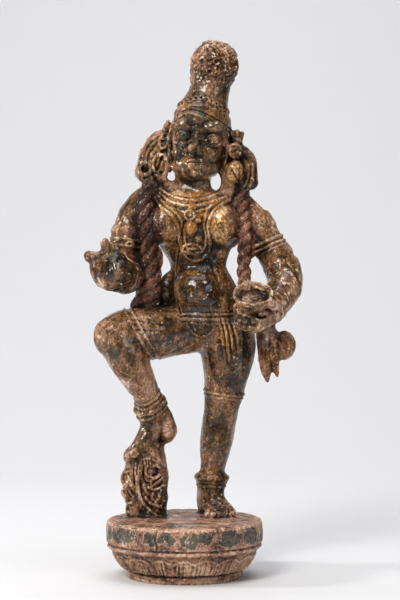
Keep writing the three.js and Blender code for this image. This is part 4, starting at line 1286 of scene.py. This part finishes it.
def cut_off_above(piece, name, height):
    """Take the part above a height in mm off as a piece of its own, and close both."""
    choose(piece)
    bpy.ops.object.mode_set(mode="EDIT")
    bpy.ops.mesh.select_all(action="DESELECT")
    bpy.ops.object.mode_set(mode="OBJECT")
    middles = np.empty(len(piece.data.polygons) * 3)
    piece.data.polygons.foreach_get("center", middles)
    above = middles.reshape(-1, 3)[:, 2] > height * MM
    piece.data.polygons.foreach_set("select", above)
    bpy.ops.object.mode_set(mode="EDIT")
    bpy.ops.mesh.separate(type="SELECTED")
    bpy.ops.object.mode_set(mode="OBJECT")
    top = [o for o in bpy.context.selected_objects if o is not piece][0]
    top.name = top.data.name = name
    for part in (piece, top):
        choose(part)
        bpy.ops.object.mode_set(mode="EDIT")
        bpy.ops.mesh.select_mode(type="EDGE")
        bpy.ops.mesh.select_all(action="DESELECT")
        bpy.ops.mesh.select_non_manifold(extend=False)
        bpy.ops.mesh.mark_sharp()
        bpy.ops.mesh.fill_holes(sides=0)
        bpy.ops.object.mode_set(mode="OBJECT")
    return top


# ---------------------------------------------------------------- the figure


# Ellipsoids of centre and radii in mm, with their strength: where the topknot's hair is, and where the paint is gilt,
# red, dark or pale; the dark on the left braid is painted shade.
TOPKNOT = [((33.5, 20, 567), (30, 30, 30), 1.0)]
GILT = [
    ((45, 0, 262), (13, 30, 26), 0.75),
    ((98, -4, 236), (14, 30, 22), 0.45),
    ((42, 0, 170), (10, 40, 60), 0.35),
    ((6, -6, 412), (44, 24, 16), 1.0),
    ((14, -6, 376), (46, 24, 30), 0.7),
    ((15, 0, 330), (34, 32, 34), 0.9),
    ((56.3, 4, 445), (12, 16, 15), 1.3),
    ((20, 0, 514), (44, 44, 12), 0.2),
    ((100, 10, 345), (18, 20, 34), 0.35),
    ((-66, 16, 370), (14, 20, 26), 0.35),
    ((-58, -12, 230), (24, 22, 40), 0.3),
    ((10, -12, 470), (34, 16, 34), 0.25),
]
RED = [
    ((-42, 6, 365), (18, 30, 72), 0.9),
    ((65, 2, 370), (18, 30, 56), 1.1),
    ((96, 8, 246), (26, 22, 60), 0.5),
    ((-60, -16, 222), (18, 22, 22), 0.7),
    ((-46, 14, 110), (30, 24, 56), 0.12),
    ((34, 22, 70), (32, 34, 14), 0.4),
    ((96, -6, 318), (26, 30, 30), 0.4),
    ((33, 20, 566), (34, 34, 32), 0.35),
]
# Darker paint. The first two places, on the left braid, are painted shade: the braid is darkened there for the shadow
# of the arm.
DARK = [
    ((-42, 6, 365), (18, 30, 72), 0.8),
    ((-42, 8, 312), (18, 30, 34), 1.3),
    ((-30, -6, 266), (38, 30, 24), 0.5),
    ((22, 0, 278), (46, 44, 26), 0.1),
    ((15, 0, 328), (34, 30, 36), 0.5),
    ((50, 30, 240), (30, 34, 46), 0.45),
    ((17, 10, 458), (34, 34, 14), 0.2),
    ((17, -14, 470), (34, 30, 36), 0.45),
    ((66, 22, 450), (20, 30, 38), 0.3),
    ((-81, -31, 345), (34, 30, 36), 0.4),
    ((40, 60, 300), (80, 40, 240), 0.3),
]
PALE = [
    ((6, -6, 412), (44, 24, 16), 1.2),
    ((20, 0, 545), (26, 30, 12), 0.4),
    ((33, 10, 568), (34, 34, 28), 0.9),
    ((106, 0, 316), (28, 36, 34), 1.4),
    ((-38, 24, 460), (26, 26, 46), 0.5),
    ((-62, -20, 225), (20, 22, 40), 0.35),
    ((-80, -30, 272), (20, 22, 18), 0.9),
    ((-58, -14, 238), (18, 16, 26), 0.5),
    ((68, -40, 281), (19, 24, 13), 1.1),
    ((56, -40, 302), (9, 20, 12), 0.8),
    ((76, -36, 308), (26, 24, 12), 1.1),
    ((-72, 0, 392), (16, 24, 40), 1.0),
    ((36, 18, 72), (30, 30, 16), 1.0),
    ((-46, 14, 104), (32, 26, 46), 1.2),
    ((86, -30, 306), (26, 26, 22), 0.9),
    ((100, 10, 254), (18, 18, 20), 0.6),
    ((20, 0, 520), (40, 40, 12), 0.3),
]


def carved_figure(sizes):
    """The figure's legs, torso and head, with the fields that their paint follows."""
    forms = RaisedWork()
    grow_forms(forms)
    figure = rough_form("demon_body", PLINTH_TOP - SUNK, sizes.rough_step / MM, FINE_PLACES, forms)
    skin = Skin(figure)
    work = RaisedWork()
    for lay in (
        lay_necklaces,
        lay_limb_rings,
        lay_cloth,
        lay_face,
        lay_headdress,
        lay_hair_and_ears,
        lay_braids,
        lay_leaf,
        lay_hands_and_feet,
    ):
        lay(skin, work)
    figure = joined(figure, work.made("raised_work"))
    figure.name = figure.data.name = "demon_body"
    finish_with(figure, "REMESH", mode="VOXEL", voxel_size=sizes.figure_step)
    move_points(figure, blurred(points_of(figure), edges_of(figure), 1))
    carve_figure(figure)
    mark_places(figure, "topknot_hair", TOPKNOT)
    grain_displace(figure, size=7.4, strength=4.2, depth=1, places="topknot_hair", folded=True)
    grain_displace(figure, size=7.0, strength=3.0, depth=1, places="topknot_hair")
    grain_displace(figure, size=13.0, strength=sizes.tool_marks / MM)
    grain_displace(figure, size=3.2, strength=0.55, depth=1)
    share = min(1.0, FIGURE_TRIANGLES / (2 * len(figure.data.polygons)))
    finish_with(figure, "DECIMATE", ratio=share, use_collapse_triangulate=True)
    hollows_and_ridges(figure)
    points = points_of(figure)
    for name, places in (("gilt", GILT), ("red", RED), ("dark", DARK), ("pale", PALE)):
        set_field(figure, name, most(points, places))
    head = cut_off_above(figure, "demon_head", NECK_CUT)
    torso = cut_off_above(figure, "demon_torso", HIP_CUT)
    figure.name = figure.data.name = "demon_legs"
    return figure, torso, head


class DEMON_OT_figure(bpy.types.Operator):
    """Carve and paint the dancing figure, kept in three pieces: legs, torso and head"""

    bl_idname = "demon.figure"
    bl_label = "Carve Figure"

    def execute(self, context):
        pieces = carved_figure(context.scene.demon_sizes)
        material = figure_finish(context.scene.demon_colours, wear_and_shade_groups())
        for piece in pieces:
            declared(piece, material)
        return {"FINISHED"}


# ---------------------------------------------------------------- the plinth


SPIN_STEPS = 640
PETAL_PAIRS = 9  # round the plinth
FLUTES = 84  # round the plinth, on the petals
CRACK_TURN = math.radians(20.5)  # to the left of the front

# Radius and height in mm, from the middle of the underside to the middle of the top.
PLINTH_PROFILE = [
    # the foot ring
    (0, 0), (61.5, 0), (63.0, 1.2), (63.6, 3.0), (63.2, 6.4), (61.8, 8.4), (62.6, 9.6),
    # the petals
    (66.8, 10.4), (70.0, 12.4), (73.2, 16.5), (76.8, 22.5), (79.4, 28.2), (80.9, 31.6),
    # the small roll and the groove
    (83.4, 33.0), (85.2, 34.8), (84.9, 36.6), (84.0, 38.0), (84.5, 39.0),
    # the drum with its rounded rim, and the top
    (85.8, 40.2), (86.2, 42.6), (86.3, 50.0), (86.2, 57.0), (85.8, 60.8), (84.4, 62.9), (81.4, 63.8),
    (76.0, 63.9), (0, 63.9),
]

# Lost paint on the drum: degrees to the right of the front and half the width in degrees, then the
# middle's height and half of the patch's own in mm.
PATCHES = [
    (-52, 13, 53, 9), (-25, 5.5, 51.5, 7.5), (-12.5, 7, 52, 8.5), (4, 7.5, 50.5, 8), (14.5, 5.5, 53, 7),
    (36, 10.5, 52, 9.5), (57, 8, 52, 9.5), (79, 6, 50, 8), (98, 11, 53, 8), (122, 7, 51, 8), (143, 9, 54, 7),
    (163, 6, 50, 8), (183, 11, 52, 9), (205, 6, 53, 7), (226, 9, 51, 8), (248, 7, 53, 9), (268, 10, 51, 8),
    (289, 6, 52, 8),
]


def spun_plinth(name, step):
    """The plinth's side profile, with coarser steps where it is flat, spun round its axis and closed."""
    corners = [np.array((*PLINTH_PROFILE[0], 0.0))]
    for a, b in zip(PLINTH_PROFILE, PLINTH_PROFILE[1:]):
        a, b = np.array((*a, 0.0)), np.array((*b, 0.0))
        flat = a[1] == b[1] or min(a[0], b[0]) < 40
        count = max(1, round(np.linalg.norm(b - a) / (2.2 * step if flat else step)))
        corners += [a + (b - a) * (i + 1) / count for i in range(count)]
    mesh = bpy.data.meshes.new(name)
    sides = [(i, i + 1) for i in range(len(corners) - 1)]
    mesh.from_pydata([(r * MM, 0, z * MM) for r, z, _ in corners], sides, [])
    piece = bpy.data.objects.new(name, mesh)
    bpy.context.scene.collection.objects.link(piece)
    choose(piece)
    bpy.ops.object.mode_set(mode="EDIT")
    bpy.ops.mesh.select_all(action="SELECT")
    bpy.ops.mesh.spin(steps=SPIN_STEPS, angle=2 * math.pi, center=(0, 0, 0), axis=(0, 0, 1))
    bpy.ops.mesh.select_all(action="SELECT")
    bpy.ops.mesh.remove_doubles(threshold=2e-5)
    bpy.ops.mesh.normals_make_consistent(inside=False)
    bpy.ops.object.mode_set(mode="OBJECT")
    return piece


def carved_plinth(sizes):
    """The lotus plinth, with the fields that its paint follows."""
    plinth = spun_plinth("lotus_plinth", sizes.plinth_step / MM)
    carving = Carving(plinth)
    x, y, z = carving.points.T
    turn = np.arctan2(y, x)
    out = np.hypot(x, y)

    # Petals with fluted strokes, which sway a little, and a rim that stands out over a groove.
    top = 21.5 + 4.5 * np.abs(np.sin(turn * PETAL_PAIRS + 0.3 * np.sin(turn * 4)))
    petals = blend(out, 66, 70) * (1 - blend(z, 29, 31))
    strokes = blend(out, 60, 66) * blend(z, 9, 12) * (1 - blend(z, top - 1.5, top + 1.5))
    sway = 0.22 * np.sin(turn * 7 + 1.0) + 0.18 * np.sin(turn * 23) + 0.012 * z * np.sin(turn * 5)
    depth = 0.7 + 0.3 * np.sin(turn * 31 + 2.0)
    carving.wave(strokes * depth, turn * FLUTES / (2 * math.pi) + 1.6 * sway, 2.1)
    carving.rise += petals * (0.6 * bell(z - top, 1.5, 1.4) - 0.5 * bell(z - top, 4.2, 1.5))

    # Grooves under the drum and over the foot ring, and the old crack in the drum.
    for height, cut in ((37.6, 0.2), (9.2, 0.3)):
        carving.rise -= cut * bell(z, height, 0.9) * blend(out, 58, 60)
    aside = np.abs(turn + math.pi / 2 + CRACK_TURN - 0.01 * np.sin(z / 3))
    carving.rise -= 1.4 * bell(aside, 0, 0.012) * blend(z, 38, 41) * (1 - blend(z, 60, 63)) * blend(out, 70, 80)
    carving.carve()
    grain_displace(plinth, size=16.0, strength=1.6)
    grain_displace(plinth, size=3.5, strength=0.9, depth=1)

    # The underside is made flat again, so that it stands.
    points = points_of(plinth)
    points[:, 2] = np.where(points[:, 2] < 1.5, np.clip(points[:, 2], 0, 0.4), np.maximum(points[:, 2], 0))
    move_points(plinth, points)

    hollows_and_ridges(plinth, 0.75)
    x, y, z = points_of(plinth).T
    out = np.hypot(x, y)
    round_about = np.degrees(np.arctan2(x, -y))
    patch = np.zeros(len(x))
    for middle, wide, height, tall in PATCHES:
        aside = (round_about - middle + 180) % 360 - 180
        patch = np.maximum(patch, 1 - blend(np.hypot(aside / wide, (z - height) / tall), 0.6, 1.6))
    set_field(plinth, "patch", patch * blend(z, 39, 42) * (1 - blend(z, 60, 62)))
    lotus = blend(z, 8, 11) * (1 - blend(z, 30, 38))
    foot = 0.8 * (1 - blend(z, 6, 9))
    set_field(plinth, "band", (lotus + foot) * blend(out, 50, 58))
    set_field(plinth, "flat", blend(z, 61.5, 62.8) * (1 - blend(out, 78, 83)))
    return plinth


class DEMON_OT_plinth(bpy.types.Operator):
    """Carve and paint the round lotus plinth"""

    bl_idname = "demon.plinth"
    bl_label = "Carve Plinth"

    def execute(self, context):
        plinth = carved_plinth(context.scene.demon_sizes)
        declared(plinth, plinth_finish(context.scene.demon_colours, wear_and_shade_groups()))
        return {"FINISHED"}


# ---------------------------------------------------------------- the stage and the panel


# Area lights: name, place and aim in metres, size in metres, power in watts and colour.
LIGHTS = (
    ("side_light", (-2.1, -0.30, 1.15), (0.0, 0.0, 0.30), 0.3, 23.5, (1.0, 0.98, 0.95)),
    ("front_light", (-0.9, -1.9, 1.9), (0.0, 0.0, 0.32), 0.8, 46.0, (1.0, 0.97, 0.92)),
    ("fill_light", (1.6, -1.6, 0.8), (0.0, 0.0, 0.30), 0.7, 6.0, (0.95, 0.97, 1.0)),
    ("top_light", (0.1, -0.3, 2.5), (0.1, -0.2, 0.0), 2.0, 36.0, (1.0, 1.0, 1.0)),
    ("wall_light", (0.0, 1.2, 2.6), (0.0, 3.0, 0.9), 2.2, 33.0, (1.0, 1.0, 1.0)),
)


def made_backdrop():
    """The pale floor, which bends up into a wall behind the figure."""
    bend = 2.2
    sweep = [(1.0 + bend * math.sin(a), bend - bend * math.cos(a)) for a in np.linspace(0, math.pi / 2, 40)]
    corners, faces = [], []
    for i, (y, z) in enumerate([(-4.0, 0.0), *sweep, (1.0 + bend, 5.0)]):
        corners += [(-6, y, z), (6, y, z)]
        if i:
            faces.append((2 * i - 2, 2 * i - 1, 2 * i + 1, 2 * i))
    mesh = bpy.data.meshes.new("pale_backdrop")
    mesh.from_pydata(corners, [], faces)
    backdrop = bpy.data.objects.new("pale_backdrop", mesh)
    bpy.context.scene.collection.objects.link(backdrop)
    choose(backdrop)
    bpy.ops.object.shade_smooth()
    material, _, shader = new_material("pale_paper", rough=0.9, specular=0.1)
    shader.inputs["Base Color"].default_value = (0.70, 0.70, 0.72, 1)
    backdrop.data.materials.append(material)


class DEMON_OT_stage(bpy.types.Operator):
    """Set the pale stage, the soft lights and the camera"""

    bl_idname = "demon.stage"
    bl_label = "Set Stage"

    def execute(self, context):
        scene = context.scene
        made_backdrop()
        for name, place, aim, size, power, colour in LIGHTS:
            light = bpy.data.lights.new(name, "AREA")
            light.energy, light.size, light.color = power, size, colour
            lamp = bpy.data.objects.new(name, light)
            lamp.location = place
            lamp.rotation_euler = (Vector(aim) - Vector(place)).to_track_quat("-Z", "Y").to_euler()
            scene.collection.objects.link(lamp)

        world = bpy.data.worlds.new("soft_room")
        world.use_nodes = True
        world.node_tree.nodes["Background"].inputs["Color"].default_value = (0.95, 0.97, 1.0, 1)
        world.node_tree.nodes["Background"].inputs["Strength"].default_value = 0.14
        scene.world = world

        lens = bpy.data.cameras.new("camera")
        lens.sensor_fit = "VERTICAL"
        lens.sensor_height = FILM_HEIGHT
        lens.lens = LENS
        camera = bpy.data.objects.new("camera", lens)
        camera.location = CAMERA_PLACE
        camera.rotation_euler = (math.pi / 2 - CAMERA_PITCH, 0, 0)
        scene.collection.objects.link(camera)
        scene.camera = camera
        scene.view_settings.view_transform = "Standard"
        return {"FINISHED"}


class DEMON_PT_panel(bpy.types.Panel):
    """Lists the sizes, the colours and the steps of the figure"""

    bl_idname = "DEMON_PT_panel"
    bl_label = "Demon Figure"
    bl_space_type = "VIEW_3D"
    bl_region_type = "UI"
    bl_category = "Demon Figure"

    def draw(self, context):
        for settings in (context.scene.demon_sizes, context.scene.demon_colours):
            for name in settings.bl_rna.properties.keys():
                if name not in ("rna_type", "name"):
                    self.layout.prop(settings, name)
        for step in (DEMON_OT_figure, DEMON_OT_plinth, DEMON_OT_stage):
            self.layout.operator(step.bl_idname)


CLASSES = (DemonColours, DemonSizes, DEMON_OT_figure, DEMON_OT_plinth, DEMON_OT_stage, DEMON_PT_panel)


def register():
    """Register the panel, its settings and its steps."""
    for kind in CLASSES:
        bpy.utils.register_class(kind)
    bpy.types.Scene.demon_sizes = PointerProperty(type=DemonSizes)
    bpy.types.Scene.demon_colours = PointerProperty(type=DemonColours)


def unregister():
    """Take them away again."""
    del bpy.types.Scene.demon_sizes, bpy.types.Scene.demon_colours
    for kind in reversed(CLASSES):
        bpy.utils.unregister_class(kind)


def main():
    register()
    bpy.ops.demon.figure()
    bpy.ops.demon.plinth()
    bpy.ops.demon.stage()


if __name__ == "__main__":
    main()
